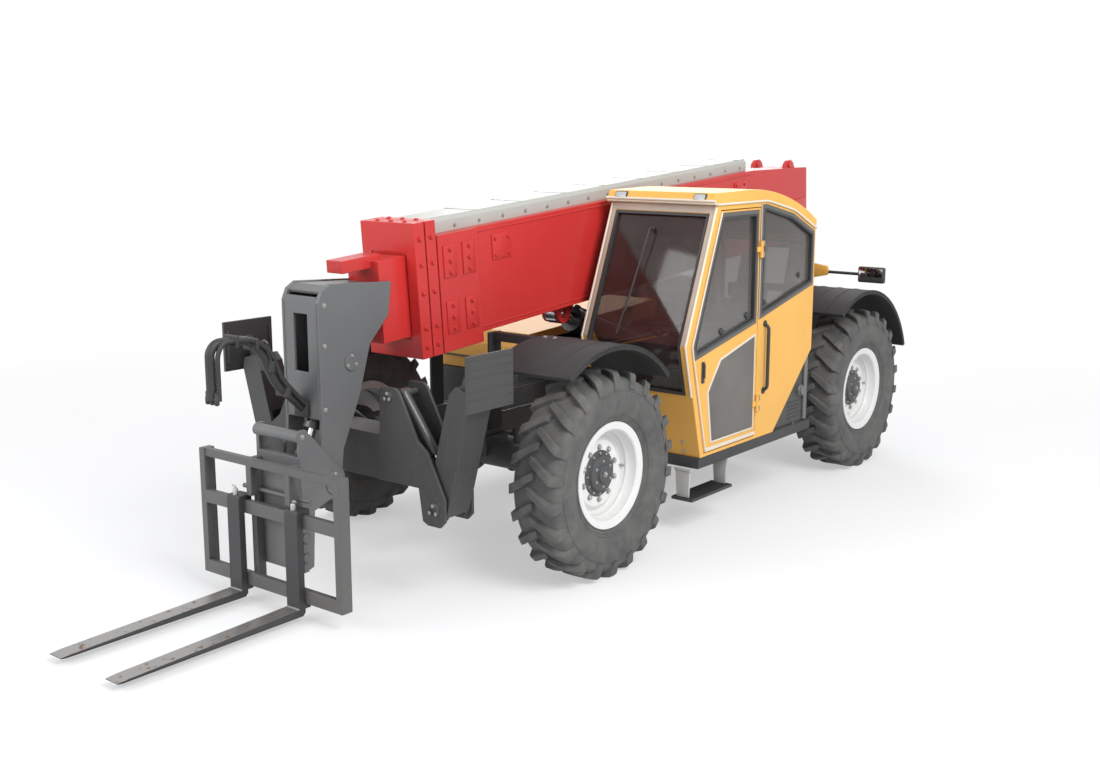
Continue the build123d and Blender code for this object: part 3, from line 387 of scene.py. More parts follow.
def eased_corners(a, b, edge):
    """A rectangle between two pairs of limits, and the edge that it has room for."""
    corners = [(a[0], b[0]), (a[1], b[0]), (a[1], b[1]), (a[0], b[1])]
    return corners, min(edge, abs(a[1] - a[0]) * edge_share, abs(b[1] - b[0]) * edge_share)


def box(x, y, z, edge=3.0):
    """A block with eased edges between pairs of limits."""
    corners, edge = eased_corners(y, z, edge)
    return plate(corners, x, edge)


def round_angles(count):
    return [2 * math.pi * n / count for n in range(count)]


def circled(place, side, ahead, radius, count):
    """A ring of points round a place, square to the way ahead."""
    other = ahead.cross(side)
    return [place + (side * math.cos(a) + other * math.sin(a)) * radius for a in round_angles(count)]


def way_ahead(line, k):
    return (line[min(k + 1, len(line) - 1)] - line[max(k - 1, 0)]).normalized()


def tube(path, radius, bend=0.0, sides=12, steps=5, out=1):
    """A round bar, pipe or hose through points, its corners turned on curves."""
    points = [Vector((x * out, y, z)) for x, y, z in path]
    line = [points[0]]
    for before, corner, after in zip(points[:-2], points[1:-1], points[2:]):
        reach = min(bend, (before - corner).length * 0.48, (after - corner).length * 0.48)
        start = corner + (before - corner).normalized() * reach
        end = corner + (after - corner).normalized() * reach
        for k in range(steps + 1):
            t = k / steps
            line.append(start * (1 - t) ** 2 + corner * (2 * t * (1 - t)) + end * t * t)
    line.append(points[-1])
    rings, side = [], None
    for k, point in enumerate(line):
        ahead = way_ahead(line, k)
        side = side or ahead.orthogonal().normalized()
        side = (side - ahead * side.dot(ahead)).normalized()
        rings.append(circled(point, side, ahead, radius, sides))
    return skinned(rings, caps=True)


def turned(profile, centre=(0, 0, 0), axis="X", sides=48, loop=False, out=1):
    """A turned shape. Its profile is (distance out along the axis, radius) from one end to the other."""
    rings = []
    for along, radius in profile:
        circle = [(math.cos(a) * radius, math.sin(a) * radius) for a in round_angles(sides)]
        rings.append([Vector(square_to(axis, *point, along * out)) + Vector(centre) for point in circle])
    return skinned(rings, caps=not loop, loop=loop)


def repeat_tree():
    """Copies a fitting along a row, each copy turned by one more step than the last."""
    tree = bpy.data.node_groups.new("repeated fitting", "GeometryNodeTree")
    kinds = {"Geometry": "Geometry", "Count": "Int", "Centre": "Vector", "Step": "Vector", "Turn": "Vector"}
    for name, kind in {**kinds, "Material": "Material"}.items():
        tree.interface.new_socket(name, in_out="INPUT", socket_type="NodeSocket" + kind)
    tree.interface.new_socket("Geometry", in_out="OUTPUT", socket_type="NodeSocketGeometry")
    given, result = tree.nodes.new("NodeGroupInput"), tree.nodes.new("NodeGroupOutput")
    scale = tree.nodes.new("ShaderNodeVectorMath")
    scale.operation = "SCALE"
    line, index, copies, real, coat = (
        tree.nodes.new("GeometryNode" + kind)
        for kind in ("MeshLine", "InputIndex", "InstanceOnPoints", "RealizeInstances", "SetMaterial")
    )
    for source, output, target, socket in (
        (given, "Count", line, "Count"),
        (given, "Centre", line, "Start Location"),
        (given, "Step", line, "Offset"),
        (given, "Turn", scale, 0),
        (index, 0, scale, "Scale"),
        (line, 0, copies, "Points"),
        (given, "Geometry", copies, "Instance"),
        (scale, 0, copies, "Rotation"),
        (copies, 0, real, 0),
        (real, 0, coat, 0),
        (given, "Material", coat, "Material"),
        (coat, 0, result, 0),
    ):
        tree.links.new(source.outputs[output], target.inputs[socket])
    return tree


fitting_rows = repeat_tree()


def repeated(mesh, count, centre=(0, 0, 0), step=(0, 0, 0), turn=(0, 0, 0)):
    """The plain mesh of a fitting repeated by the tree above."""
    seed = placed("seed", mesh)
    modifier = seed.modifiers.new("repeat", "NODES")
    modifier.node_group = fitting_rows
    values = {"Count": count, "Centre": centre, "Step": step, "Turn": turn}
    for item in fitting_rows.interface.items_tree:
        if item.in_out == "INPUT" and item.name in values:
            value = values[item.name]
            modifier[item.identifier] = [float(v) for v in value] if isinstance(value, tuple) else value
    made = result_of(seed)
    bpy.data.objects.remove(seed)
    bpy.data.meshes.remove(mesh)
    return made


quarter_turn = math.pi / 2
facing_turns = {
    "+X": Matrix.Rotation(quarter_turn, 4, "Y"),
    "-X": Matrix.Rotation(-quarter_turn, 4, "Y"),
    "+Y": Matrix.Rotation(-quarter_turn, 4, "X"),
    "-Y": Matrix.Rotation(quarter_turn, 4, "X"),
    "+Z": Matrix.Identity(4),
    "-Z": Matrix.Rotation(math.pi, 4, "X"),
}


def hex_bolt(across, height, facing, offset=(0, 0, 0)):
    """A hexagon head with a chamfered top on its washer."""
    washer_radius, corner, seat = across / 2 * 1.7, across * 0.577, height * 0.2
    washer = turned([(0, washer_radius), (seat, washer_radius)], axis="Z", sides=18)
    head = turned([(seat, corner), (height * 0.85, corner), (height, corner * 0.84)], axis="Z", sides=6)
    mesh = settled(joined((washer, head)))
    mesh.transform(facing_turns[facing])
    mesh.transform(Matrix.Translation(Vector(offset)))
    return mesh


def bolt_row(start, step, count, facing, across, height):
    return repeated(hex_bolt(across, height, facing), count, start, step)


def bolt_circle(centre, radius, count, facing, across, height):
    """Bolts round a centre, on a face that looks along X, Y or Z."""
    offset = (radius, 0, 0) if facing[1] == "Z" else (0, 0, radius)
    turns = tuple(2 * math.pi / count if facing[1] == name else 0.0 for name in "XYZ")
    return repeated(hex_bolt(across, height, facing, offset), count, centre, turn=turns)


def plated_steel():
    """Zinc-plated bolt heads, dulled and a little rusted."""
    shader = Shader("plated bolt steel", "frame_grey")
    speck = shader.noise(90, 3)
    rust = shader.noise(24, 4).over(0.6, 0.75)
    tone = shader.mix(speck, (0.33, 0.33, 0.32), (0.45, 0.45, 0.43))
    return shader.finish(
        Base_Color=shader.mix(rust * 0.6, tone, (0.2, 0.1, 0.05)),
        Metallic=0.85 - rust * 0.6,
        Roughness=0.36 + speck * 0.25,
        Normal=shader.bump(speck, 0.2, 0.001),
    )


def weld(path, radius=6.0):
    """A weld bead, rippled along its length."""
    points = [Vector(p) for p in path]
    run = []
    for start, end in zip(points[:-1], points[1:]):
        count = max(2, int((end - start).length / 9))
        run += [start.lerp(end, k / count) for k in range(count)]
    run.append(points[-1])
    rings = []
    for k, point in enumerate(run):
        ahead = way_ahead(run, k)
        rings.append(circled(point, ahead.orthogonal().normalized(), ahead, radius * (0.82, 1.12)[k % 2], 6))
    return skinned(rings, caps=True)


frame_grey = paint("frame grey paint", "frame_grey", (0.032, 0.033, 0.035), 0.5, 0.08, 0.3)
bolt_steel = plated_steel()
eased("chassis_frame", frame_grey)
# Pockets cast in the counterweight for the lamps, reflectors, bolts and the towing jaw.
weight_pockets = [box((-110, 110), (2690, 2850), (500, 720), 4)]
weight_pockets += [box((x - 104, x + 104), (2784, 2850), (872, 998), 4) for x in (-660, 660)]
for x, z, radius, depth in ((420, 760, 42, 12), (300, 640, 46, 30), (300, 1020, 46, 30)):
    for side in (-1, 1):
        weight_pockets.append(turned([(2830 - depth, radius), (2850, radius)], (side * x, 0, z), "Y", 32))
eased("counterweight", frame_grey, offset=12, pockets=weight_pockets)
eased("cab_platform", frame_grey)

pivot_y, pivot_z = 2600, 1780
frame_bolts, frame_welds = [], []
for side, facing in flanks:
    frame_bolts += [bolt_row((side * 286, -2590, z), (0, 110, 0), 5, facing, 34, 20) for z in (775, 865)]
    frame_bolts.append(bolt_circle((side * 268, pivot_y, pivot_z), 62, 4, facing, 22, 12))
    frame_welds += [
        turned([(256, 96), (268, 92), (269, 60)], (0, pivot_y, pivot_z), sides=40, out=side),
        weld([(side * 262, -2400, 935), (side * 262, 1800, 935)], 5),
        weld([(side * 228, pivot_y, 1155), (side * 228, pivot_y + 30, 1155)], 5),
    ]
frame_bolts += [hex_bolt(44, 22, "+Y", (x, 2800, z)) for x in (-300, 300) for z in (640, 1020)]
piece("frame_bolts", frame_bolts, bolt_steel)
piece("frame_welds", frame_welds, frame_grey)

# ---------- axles and steering knuckles
# Cast axle housings with a banjo in the middle for the differential, bolted up under the
# frame. A knuckle turns on a kingpin at each end and carries the wheel's hub.
# the wheels' places come from the front left rim, in whole millimetres
rim_corners = [to_frame.inverted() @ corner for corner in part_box("front_left_rim")]
hub_x, front_y, hub_z = (round((low + high) / 2) for low, high in zip(*rim_corners))
half_base, kingpin_x = -front_y, 800


def cast_iron(name, colour):
    """Sand-cast iron under one thin coat of paint."""
    shader = Shader(name, "engine_iron")
    grain = shader.noise(130, 4, roughness=0.65)
    cloud = shader.noise(4, 3)
    wet = shader.noise(9, 4).over(0.55, 0.75)
    return shader.finish(
        Base_Color=shader.mix(wet * 0.5, shader.shades(cloud, colour, 0.8, 1.2), (0.06, 0.05, 0.04)),
        Metallic=0.25,
        Roughness=0.62 - wet * 0.2 + grain * 0.1,
        Normal=shader.bump(grain, 0.35, 0.002, 0.003),
    )


def dressed(material, *names):
    """Gives CAD parts that keep their own shape their finish."""
    for name in names:
        nodes[name].data.materials.clear()
        nodes[name].data.materials.append(material)


axle_iron = cast_iron("axle cast iron", (0.055, 0.056, 0.06))
dressed(axle_iron, "front_axle", "rear_axle")
axle_parts, axle_bolts = [], []
for inward, flange in ((1, "+Y"), (-1, "-Y")):
    axle_y = -inward * half_base
    face, behind = axle_y + inward * 168, axle_y + inward * 140
    axle_parts += [
        turned([(-30, 118), (-8, 132), (6, 132), (14, 118), (20, 60)], (0, face, hub_z), "Y", 40, out=inward),
        # Propeller shaft yoke, and the shaft up to the middle gearbox.
        turned([(0, 62), (40, 62), (46, 44), (90, 44)], (0, min(face, face + inward * 90), hub_z), "Y", 24),
        tube([(0, face + inward * 80, hub_z), (0, inward * -330, 655)], 42, sides=20),
        # Steering cylinder across the back of the housing, with its ball joints.
        tube([(-330, behind, 560), (330, behind, 560)], 36, sides=20),
        tube([(-520, behind, 560), (520, behind, 560)], 17, sides=14),
    ]
    axle_bolts.append(bolt_circle((0, face + inward * 7, hub_z), 122, 12, flange, 17, 10))
    for side, facing in flanks:
        axle_parts += [
            turned([(side * 300 - 12, 46), (side * 300 + 12, 46)], (0, behind, 560), "X", 20),
            box((side * 300 - 18, side * 300 + 18), sorted((axle_y, behind + inward * 20)), (575, 640)),
            turned([(-24, 20), (-12, 30), (12, 30), (24, 20)], (side * 520, behind, 560), "Z", 16),
            turned([(0, 105), (26, 105), (34, 96)], (side * 560, axle_y, hub_z), "X", 36),
        ]
        axle_bolts.append(bolt_circle((side * 564, axle_y, hub_z), 97, 10, facing, 14, 9))
axle_parts += [
    box((-150, 150), (-250, 330), (560, 760), 20),
    turned([(0, 120), (40, 120), (60, 90)], (0, 320, 655), "Y", 30),
]
piece("axle_covers", axle_parts, axle_iron)
piece("axle_bolts", axle_bolts, bolt_steel)

hands = (("left", 1), ("right", -1))
wheel_ends = [
    (f"{end}_{hand}", wheel_y, side)
    for end, wheel_y in (("front", -half_base), ("rear", half_base))
    for hand, side in hands
]
for wheel, wheel_y, side in wheel_ends:
    dressed(axle_iron, f"{wheel}_knuckle")
    caps = []
    for up, facing in ((1, "+Z"), (-1, "-Z")):
        cap_foot, cap_flange = ((side * kingpin_x, wheel_y, hub_z + up * high) for high in (126, 130))
        caps.append(turned([(0, 52), (12, 52), (18, 44)], cap_foot, "Z", 28, out=up))
        caps.append(bolt_circle(cap_flange, 58, 4, facing, 16, 10))
    caps.append(box((side * 840, side * 880), (wheel_y + 60, wheel_y + 170), (585, 615), 8))
    piece(f"{wheel}_knuckle_caps", caps, axle_iron, f"{wheel}_knuckle")

# ---------- rims
# Pressed steel discs welded into rolled rims, sprayed white, held to the hub by ten studs.
# The hub's planetary gear cover stays dark grey.
rim_white = paint("rim white paint", "rim_white", (0.70, 0.70, 0.69), 0.4, 0.15, 0.3, shine=0.35)
hub_grey = cast_iron("hub cast iron", (0.075, 0.077, 0.08))
rolled_rim = [
    (-137, 345), (-125.5, 342), (-125.5, 306.5), (125.5, 306.5), (125.5, 342), (131, 346), (138, 343),
    (138, 330), (133, 318), (131, 300), (122, 291), (70, 284), (55, 272), (-55, 272), (-70, 284), (-137, 291),
]
dished_disc = [
    (20, 128), (20, 205), (-4, 240), (-8, 262), (10, 276), (34, 278),
    (38, 270), (14, 262), (12, 246), (36, 212), (36, 128),
]
planetary_cover = [
    (-60, 62), (-60, 150), (40, 150), (44, 146), (47, 122), (66, 114),
    (72, 104), (74, 60), (85, 56), (88, 46), (88, 0.5),
]
# Each ring of studs: how far out, its radius, how many, and the size and height of a head.
stud_rings = ((36, 170, 10, 24, 16), (44, 130, 12, 13, 7), (72, 82, 6, 12, 6))
for wheel, wheel_y, side in wheel_ends:
    body, out, facing = f"{wheel}_wheel", side * hub_x, "+X" if side > 0 else "-X"
    centre = (out, wheel_y, hub_z)
    rim = [turned(profile, centre, sides=96, loop=True, out=side) for profile in (rolled_rim, dished_disc)]
    piece(f"{wheel}_rim_shell", rim, rim_white, body, replaces=f"{wheel}_rim")
    piece(f"{wheel}_hub", [turned(planetary_cover, centre, sides=64, out=side)], hub_grey, body)
    studs = [
        bolt_circle((out + side * x, wheel_y, hub_z), radius, count, facing, across, height)
        for x, radius, count, across, height in stud_rings
    ]
    studs += [
        hex_bolt(22, 12, facing, (out + side * 87, wheel_y, hub_z)),
        tube([(out + side * 4, wheel_y + 252, hub_z), (out + side * 46, wheel_y + 262, hub_z)], 6, sides=10),
    ]
    piece(f"{wheel}_wheel_nuts", studs, bolt_steel, body)

# ---------- tyres
# Wide off-road tyres of black rubber gone grey with dust, moulded with deep lugs that run
# slantwise from the shoulders to the middle, left and right in turn.
def tyre_rubber():
    """Moulded rubber: dust in the low places and on the flanks, fine moulding grain."""
    shader = Shader("tyre rubber", "tyre")
    grain = shader.noise(300, 3)
    cloud = shader.noise(3.2, 5, roughness=0.6)
    patch = shader.noise(14, 4)
    dusty = (cloud * 0.7 + patch * 0.5).over(0.42, 0.85)
    return shader.finish(
        Base_Color=shader.mix(dusty, (0.060, 0.060, 0.060), (0.135, 0.130, 0.122)),
        Roughness=0.72 + dusty * 0.2,
        Normal=shader.bump(grain * 0.4 + patch * 0.6, 0.3, 0.002),
    )


rubber = tyre_rubber()
flank_profile = [
    (-125, 307), (-125, 348), (-134, 356), (-139, 372), (-158, 400), (-172, 440), (-178, 485), (-176, 540),
    (-168, 585), (-160, 606), (-140, 620), (-90, 629),
]
carcass_profile = [*flank_profile, (0, 633), *((-x, r) for x, r in reversed(flank_profile))]
lug_count = 22


def lug_shape(side):
    """One slanted lug, from low on the shoulder over to just past the middle."""
    # Each station: along the axle, how far round the tyre, half width, root and crest radii.
    stations = [
        (179, 0.0, 24, 560, 566), (178, 0.0, 27, 560, 590), (170, 2, 30, 585, 628), (164, 4, 31, 592, 650),
        (150, 8, 31, 600, 662), (110, 30, 29, 610, 665), (60, 64, 27, 615, 665), (8, 96, 25, 618, 665),
        (-18, 108, 22, 618, 662),
    ]
    rings = []
    for x, round_by, half, root, crest in stations:
        flank = [(half + 6, root), (half, crest - 3), (half - 4, crest)]
        ring = []
        for across, radius in [(-a, r) for a, r in flank] + flank[::-1]:
            angle = (round_by + across) / 640
            ring.append((side * x, radius * math.sin(angle), radius * math.cos(angle)))
        rings.append(ring)
    return skinned(rings, caps=True)


for wheel, wheel_y, side in wheel_ends:
    place = (side * hub_x, wheel_y, hub_z)
    spacing = 2 * math.pi / lug_count
    tyre_parts = [turned(carcass_profile, place, sides=120, loop=True)]
    for way, lead in ((1, 0.0), (-1, spacing / 2)):
        lug = lug_shape(way)
        lug.transform(Matrix.Rotation(lead, 4, "X"))
        tyre_parts.append(repeated(lug, lug_count, place, turn=(spacing, 0, 0)))
    for radius, x in ((372, 141), (392, 155), (545, 177.5)):
        for flank in (-1, 1):
            rib = [(x - 3, radius - 5), (x + 2, radius), (x - 3, radius + 5)]
            tyre_parts.append(turned(rib, place, sides=96, loop=True, out=flank))
    piece(f"{wheel}_tread", tyre_parts, rubber, f"{wheel}_wheel", 40, f"{wheel}_tyre")

# ---------- boom
# Four box sections of folded high-strength plate, one inside the other, sliding on bolted
# wear pads. The outer three end in thick welded collars. Sprayed gloss red.
boom_red = paint("boom red paint", "boom_red", (0.53, 0.027, 0.025), 0.34, 0.2, 0.22, 0.004, 0.08, 0.35)
boom_grey = paint("boom head grey paint", "head_grey", (0.115, 0.118, 0.122), 0.42, 0.15, 0.3)
boom_slope = math.radians(4.5)


def on_boom(x, u, v):
    """A place given along the stowed boom: u forward and v up from its pivot."""
    c, s = math.cos(boom_slope), math.sin(boom_slope)
    return (x, pivot_y - u * c - v * s, pivot_z - u * s + v * c)


def boom_plate(outline, x, edge):
    return plate([on_boom(0, *corner)[1:] for corner in outline], x, edge)


def boom_box(x, u, v, edge=3.0):
    """A block that lies with the boom, between pairs of limits."""
    corners, edge = eased_corners(u, v, edge)
    return boom_plate(corners, x, edge)


eased("outer_boom", boom_red, "boom", 5)
for node in ("boom_section_2", "boom_section_3", "boom_section_4"):
    eased(node, boom_red, node, 5)

boom_plates, boom_bolts, boom_welds = [], [], []
for side, facing in flanks:
    # Wear pad covers and their bolts on the outer boom's collar, and one further back.
    for u in (4520, 4700):
        boom_plates += [boom_box((side * 234, side * 244), (u, u + 120), v) for v in ((120, 330), (480, 690))]
        for v in (150, 225, 300, 510, 585, 660):
            boom_bolts.append(hex_bolt(22, 13, facing, on_boom(side * 244, u + 60, v)))
    for u in (1010, 4130):
        boom_plates.append(boom_box((side * 209, side * 218), (u, u + 190), (520, 690)))
        for corner_u in (u + 30, u + 160):
            boom_bolts += [hex_bolt(18, 11, facing, on_boom(side * 218, corner_u, v)) for v in (550, 660)]
    for x, start, end, size in (
        (211, (330, 96), (4478, 96), 5), (211, (900, 728), (4478, 728), 5), (214, (4478, 60), (4478, 758), 7),
    ):
        boom_welds.append(weld([on_boom(side * x, *start), on_boom(side * x, *end)], size))
    lug = [(40, 640), (300, 640), (250, 750), (210, 778), (130, 778), (90, 750)]
    boom_plates += [
        # Pivot boss ring and its stiffening plate, and the lifting lugs at the rear top.
        turned([(210, 150), (222, 146), (224, 100)], (0, pivot_y, pivot_z), out=side),
        boom_box((side * 209, side * 220), (-60, 340), (300, 420), 4),
        boom_plate(lug, (side * 150, side * 172), 4),
        turned([(140, 24), (184, 24)], on_boom(0, 170, 738), sides=24, out=side),
    ]
piece("boom_plates", boom_plates, boom_red, "boom")
piece("boom_bolts", boom_bolts, boom_red, "boom")
piece("boom_welds", boom_welds, boom_red, "boom", 60)

for node, front in (("boom_section_2", 4915), ("boom_section_3", 5015)):
    collar_bolts = [
        hex_bolt(24, 14, facing, on_boom(side * 236, front, v))
        for side, facing in flanks
        for v in (80, 200, 420, 600, 760)
    ]
    collar_bolts += [hex_bolt(24, 12, "+Z", on_boom(x, front, 861)) for x in (-120, 0, 120)]
    piece(f"{node}_bolts", collar_bolts, boom_red, node)

# ---------- hose tray
# A folded sheet channel along the top of the boom, screwed down over the hoses and pipes.
# Raised ribs stiffen its lid.
tray_grey = paint("tray light grey paint", "tray_grey", (0.42, 0.42, 0.39), 0.45, 0.1, 0.35)
tray_section = [(-150, 758), (-150, 830), (-128, 858), (128, 858), (150, 830), (150, 758)]
rib_step = (0, -480 * math.cos(boom_slope), -480 * math.sin(boom_slope))
tray_parts = [
    skinned([[on_boom(x, u, v) for x, v in tray_section] for u in (902, 1100, 2500, 3800, 4858)], caps=True),
    repeated(boom_box((-132, 132), (1000, 1030), (852, 861.5), 2), 8, step=rib_step),
]
piece("tray_cover", tray_parts, tray_grey, "boom", 30, "hose_tray")
screw_step = tuple(v / 2 for v in rib_step)
tray_screws = [
    bolt_row(on_boom(side * 150, 1000, 790), screw_step, 16, facing, 16, 9) for side, facing in flanks
]
piece("tray_screws", tray_screws, bolt_steel, "boom")

# ---------- boom head and hose arm
# A welded gooseneck of grey plate on the innermost section, with the tilt cylinder inside.
# A hooked tube in front carries the attachment's hoses and their couplings.
tilt_pin, coupler_pin, head = (-2990, 1440), (-3180, 740), "boom_section_4"
eased("boom_head", boom_grey, head, 5)
head_parts, head_bolts = [], []
for side, facing in flanks:
    head_parts += [
        turned([(163, 56), (172, 52), (173, 20)], (0, *tilt_pin), sides=32, out=side),
        turned([(163, 112), (167, 110), (168, 60)], (0, *coupler_pin), sides=40, out=side),
        weld([(side * 142, -3236, 1130), (side * 142, -3236, 1810)], 4),
    ]
    head_bolts.append(bolt_circle((side * 171, *tilt_pin), 38, 3, facing, 16, 9))
    for z in (1180, 1560, 1800):
        head_bolts.append(hex_bolt(20, 11, facing, (side * 163, -3205 + (z - 1180) * 0.02, z)))
piece("head_bosses", head_parts, boom_grey, head)
piece("head_bolts", head_bolts, bolt_steel, head)


def moulded(name, colour, roughness=0.55, grain=0.25, slot="black_plastic"):
    """Black or grey moulded plastic and rubber hose: fine grain, greyed a little by dust."""
    shader = Shader(name, slot)
    fine = shader.noise(260, 3)
    cloud = shader.noise(3, 4)
    return shader.finish(
        Base_Color=shader.shades(cloud.over(0.4, 0.8) * 0.35, colour, 1, 1.6, 0.035),
        Roughness=roughness + cloud * 0.15,
        Normal=shader.bump(fine, grain, 0.001, 0.002),
    )


hose_rubber = moulded("hose rubber", (0.022, 0.022, 0.023), 0.5)
black_plastic = moulded("moulded black plastic", (0.028, 0.028, 0.030), 0.48)
arm_run = [
    (-3240, 1180), (-3440, 1360), (-3530, 1560), (-3640, 1642), (-3850, 1642), (-3890, 1600), (-3890, 1330),
]
hose_run = [
    (-3237, 1196), (-3417, 1381), (-3497, 1566), (-3632, 1651), (-3827, 1651), (-3868, 1586), (-3868, 1326),
]
coupling = [(-52, 9), (-46, 15), (-10, 15), (-6, 12), (22, 12)]
arm_parts = [
    tube([(0, y, z) for y, z in arm_run], 28, 60),
    box((-60, 60), (-3255, -3236), (1130, 1230), 5),
    *(tube([(x, y, z) for y, z in hose_run], 14, 60, 10) for x in (-40, 40)),
    *(
        box((-60, 60), (y - 14, y + 14), (z - 34, z + 34), 8)
        for y, z in ((-3380, 1306), (-3490, 1470), (-3600, 1612), (-3740, 1646))
    ),
    *(turned(coupling, (x, -3886, 1355), "Z", 16) for x in (-40, 0, 40)),
]
piece("hose_arm_tube", arm_parts, hose_rubber, head, 50, "hose_arm")

# ---------- hydraulic cylinders
# Honed tubes painted black with screwed glands, and ground rods plated with hard chrome.
# A steel pipe runs along the lift and tilt barrels.
ram_black = paint("cylinder black paint", "ram_black", (0.030, 0.030, 0.032), 0.32, 0.3, 0.25)


def hard_chrome():
    """Ground and plated rod with a light oil film."""
    shader = Shader("hard chrome")
    film = shader.noise(18, 3)
    return shader.finish(
        Base_Color=shader.mix(film, (0.62, 0.63, 0.65), (0.75, 0.76, 0.78)),
        Metallic=1.0,
        Roughness=0.1 + film * 0.12,
        Normal=shader.bump(shader.noise(600, 1), 0.04, 0.001),
    )


rams = ("lift_cylinder", "tilt_cylinder", "left_outrigger", "right_outrigger")
for part, material in (("barrel", ram_black), ("rod", hard_chrome())):
    dressed(material, *(f"{ram}_{part}" for ram in rams))


def cylinder_pipes(name, start, end, reach, radius, pipe, up):
    """A pipe that runs along a barrel from port to port, held in three clips."""
    start, end, up = Vector(start), Vector(end), Vector(up)
    line = (end - start).normalized()
    off = up * (radius + pipe)
    low, high = start + line * (radius + 60), start + line * (reach - 50)
    port, half_clip = up * radius * 0.7, line * pipe * 1.6
    parts = [tube([low + port, low + off, high + off, high + port], pipe, pipe * 4, 10)]
    for place in (low, low.lerp(high, 0.5), high):
        parts.append(tube([place - half_clip + off, place + half_clip + off], pipe * 1.9, sides=8))
    piece(f"{name}_cylinder_pipes", parts, ram_black, f"{name}_barrel", 50)


cylinder_pipes("lift", (0, 1450, 700), (0, -800, 1486), 2190, 88, 11, (0, 0.33, 0.94))
cylinder_pipes("tilt", (0, *tilt_pin), (0, -3235, 890), 440, 58, 8, (0, -0.91, 0.41))

# ---------- coupler, carriage and forks
# A quick coupler of burned plate hangs on the boom head's pivot pin. The fork carriage
# hooks on to it, and the forged forks hang from its bars and slide along them.
eased("coupler", boom_grey, "coupler")
carriage_grey = paint("carriage grey paint", "frame_grey", (0.078, 0.079, 0.081), 0.46, 0.1, 0.35)
eased("fork_carriage", carriage_grey, "coupler")
coupler_bolts, coupler_parts = [], []
for side, facing in flanks:
    coupler_parts.append(turned([(195, 74), (203, 70), (205, 36)], (0, *coupler_pin), sides=40, out=side))
    coupler_parts += [
        turned([(195, 30), (206, 30), (210, 24)], (0, -3420, z), sides=24, out=side) for z in (330, 450)
    ]
    coupler_bolts.append(bolt_circle((side * 203, *coupler_pin), 52, 4, facing, 18, 10))
    coupler_bolts.append(hex_bolt(20, 12, facing, (side * 195, -3420, 1060)))
for x in (-420, 340):
    coupler_bolts += [bolt_row((x, -3499, z), (80, 0, 0), 2, "+Y", 22, 12) for z in (150, 600)]
coupler_parts.append(tube([(-300, -3462, 700), (300, -3462, 700)], 14))
piece("coupler_bosses", coupler_parts, boom_grey, "coupler")
piece("coupler_bolts", coupler_bolts, bolt_steel, "coupler")


def worn_fork():
    """Black paint rubbed down to bare forged steel where loads slide over the blades."""
    shader = Shader("worn fork paint", "frame_grey")
    scratch = shader.noise(9, 5, shader.stretched(14, 0.6, 8), 0.65)
    cloud = shader.noise(5, 4)
    low = 1 - shader.along("Z").over(0.07, 0.3)
    worn = (low * shader.facing_up().over(0.4, 0.9) * 0.75 + scratch * 0.45 + cloud * 0.2).over(0.55, 0.8)
    rust = shader.noise(26, 4).over(0.58, 0.7) * worn
    bare = shader.mix(rust, shader.mix(scratch, (0.28, 0.27, 0.26), (0.4, 0.39, 0.38)), (0.16, 0.075, 0.035))
    return shader.finish(
        Base_Color=shader.mix(worn, (0.035, 0.035, 0.037), bare),
        Metallic=worn * 0.8 - rust * 0.5,
        Roughness=0.5 - worn * 0.15 + rust * 0.3,
        Normal=shader.bump(scratch, 0.15, 0.001, 0.003),
    )


fork_steel = worn_fork()
for hand, side in hands:
    fork = f"{hand}_fork"
    eased(fork, fork_steel, fork, 5)
    latch = [
        turned([(0, 16), (34, 16), (40, 12)], (side * 260, -3560, 668), "Z", 18),
        tube([(260, -3560, 706), (260, -3560, 722), (285, -3560, 722)], 6, 6, 8, out=side),
    ]
    piece(f"{fork}_latch", latch, bolt_steel, fork)

# ---------- front bridge and outriggers
# A box across the frame's nose carries two swinging legs. Each is raised and lowered by its
# own cylinder and stands on a pivoting sole plate.
eased("front_bridge", frame_grey)
bridge_bolts, bridge_parts = [], []
for side in (-1, 1):
    for x, z, size in ((740, 600, 48), (380, 1240, 36)):
        boss = [(-2915, size - 6), (-2910, size), (-2902, size)]
        bridge_parts.append(turned(boss, (side * x, 0, z), "Y", 28))
        bridge_bolts.append(bolt_circle((side * x, -2914, z), size * 0.6, 3, "-Y", 14, 8))
    # Hoses from the frame to the leg's cylinder.
    for low, x in ((150, 330), (176, 352)):
        run = [(low, -2500, 900), (low + 20, -2640, 1030), (x, -2700, 1120), (x + 40, -2735, 1215)]
        bridge_parts.append(tube(run, 9, 70, 10, out=side))
piece("bridge_bosses", bridge_parts, frame_grey, angle=50)
piece("bridge_bolts", bridge_bolts, bolt_steel)
for hand, side in hands:
    leg, foot = f"{hand}_outrigger", f"{hand}_outrigger_foot"
    eased(leg, frame_grey, leg)
    eased(foot, frame_grey, foot)
    grips = [
        box((side * 1083, side * 1087), (-2965, -2585), (z - 6, z + 6), 1.5)
        for z in (1260, 1310, 1360, 1440, 1490, 1540)
    ]
    grips += [box((side * 1050, side * 1066), (y - 8, y + 8), (1290, 1510), 3) for y in (-2948, -2602)]
    piece(f"{hand}_foot_grips", grips, frame_grey, foot)

# ---------- cab shell
# Pressed and welded steel on folded pillars, sprayed warm yellow, with a moulded roof. Its
# panes are tinted safety glass in black rubber, held by small turn latches.
body_yellow = paint("body yellow paint", "body_yellow", (0.76, 0.41, 0.09), 0.42, 0.06, 0.2, 0.005, 0.1, 0.22)
eased("cab_frame", body_yellow, offset=6)
eased("cab_roof", body_yellow, offset=14)
eased("cab_door", body_yellow, "cab_door", 5)


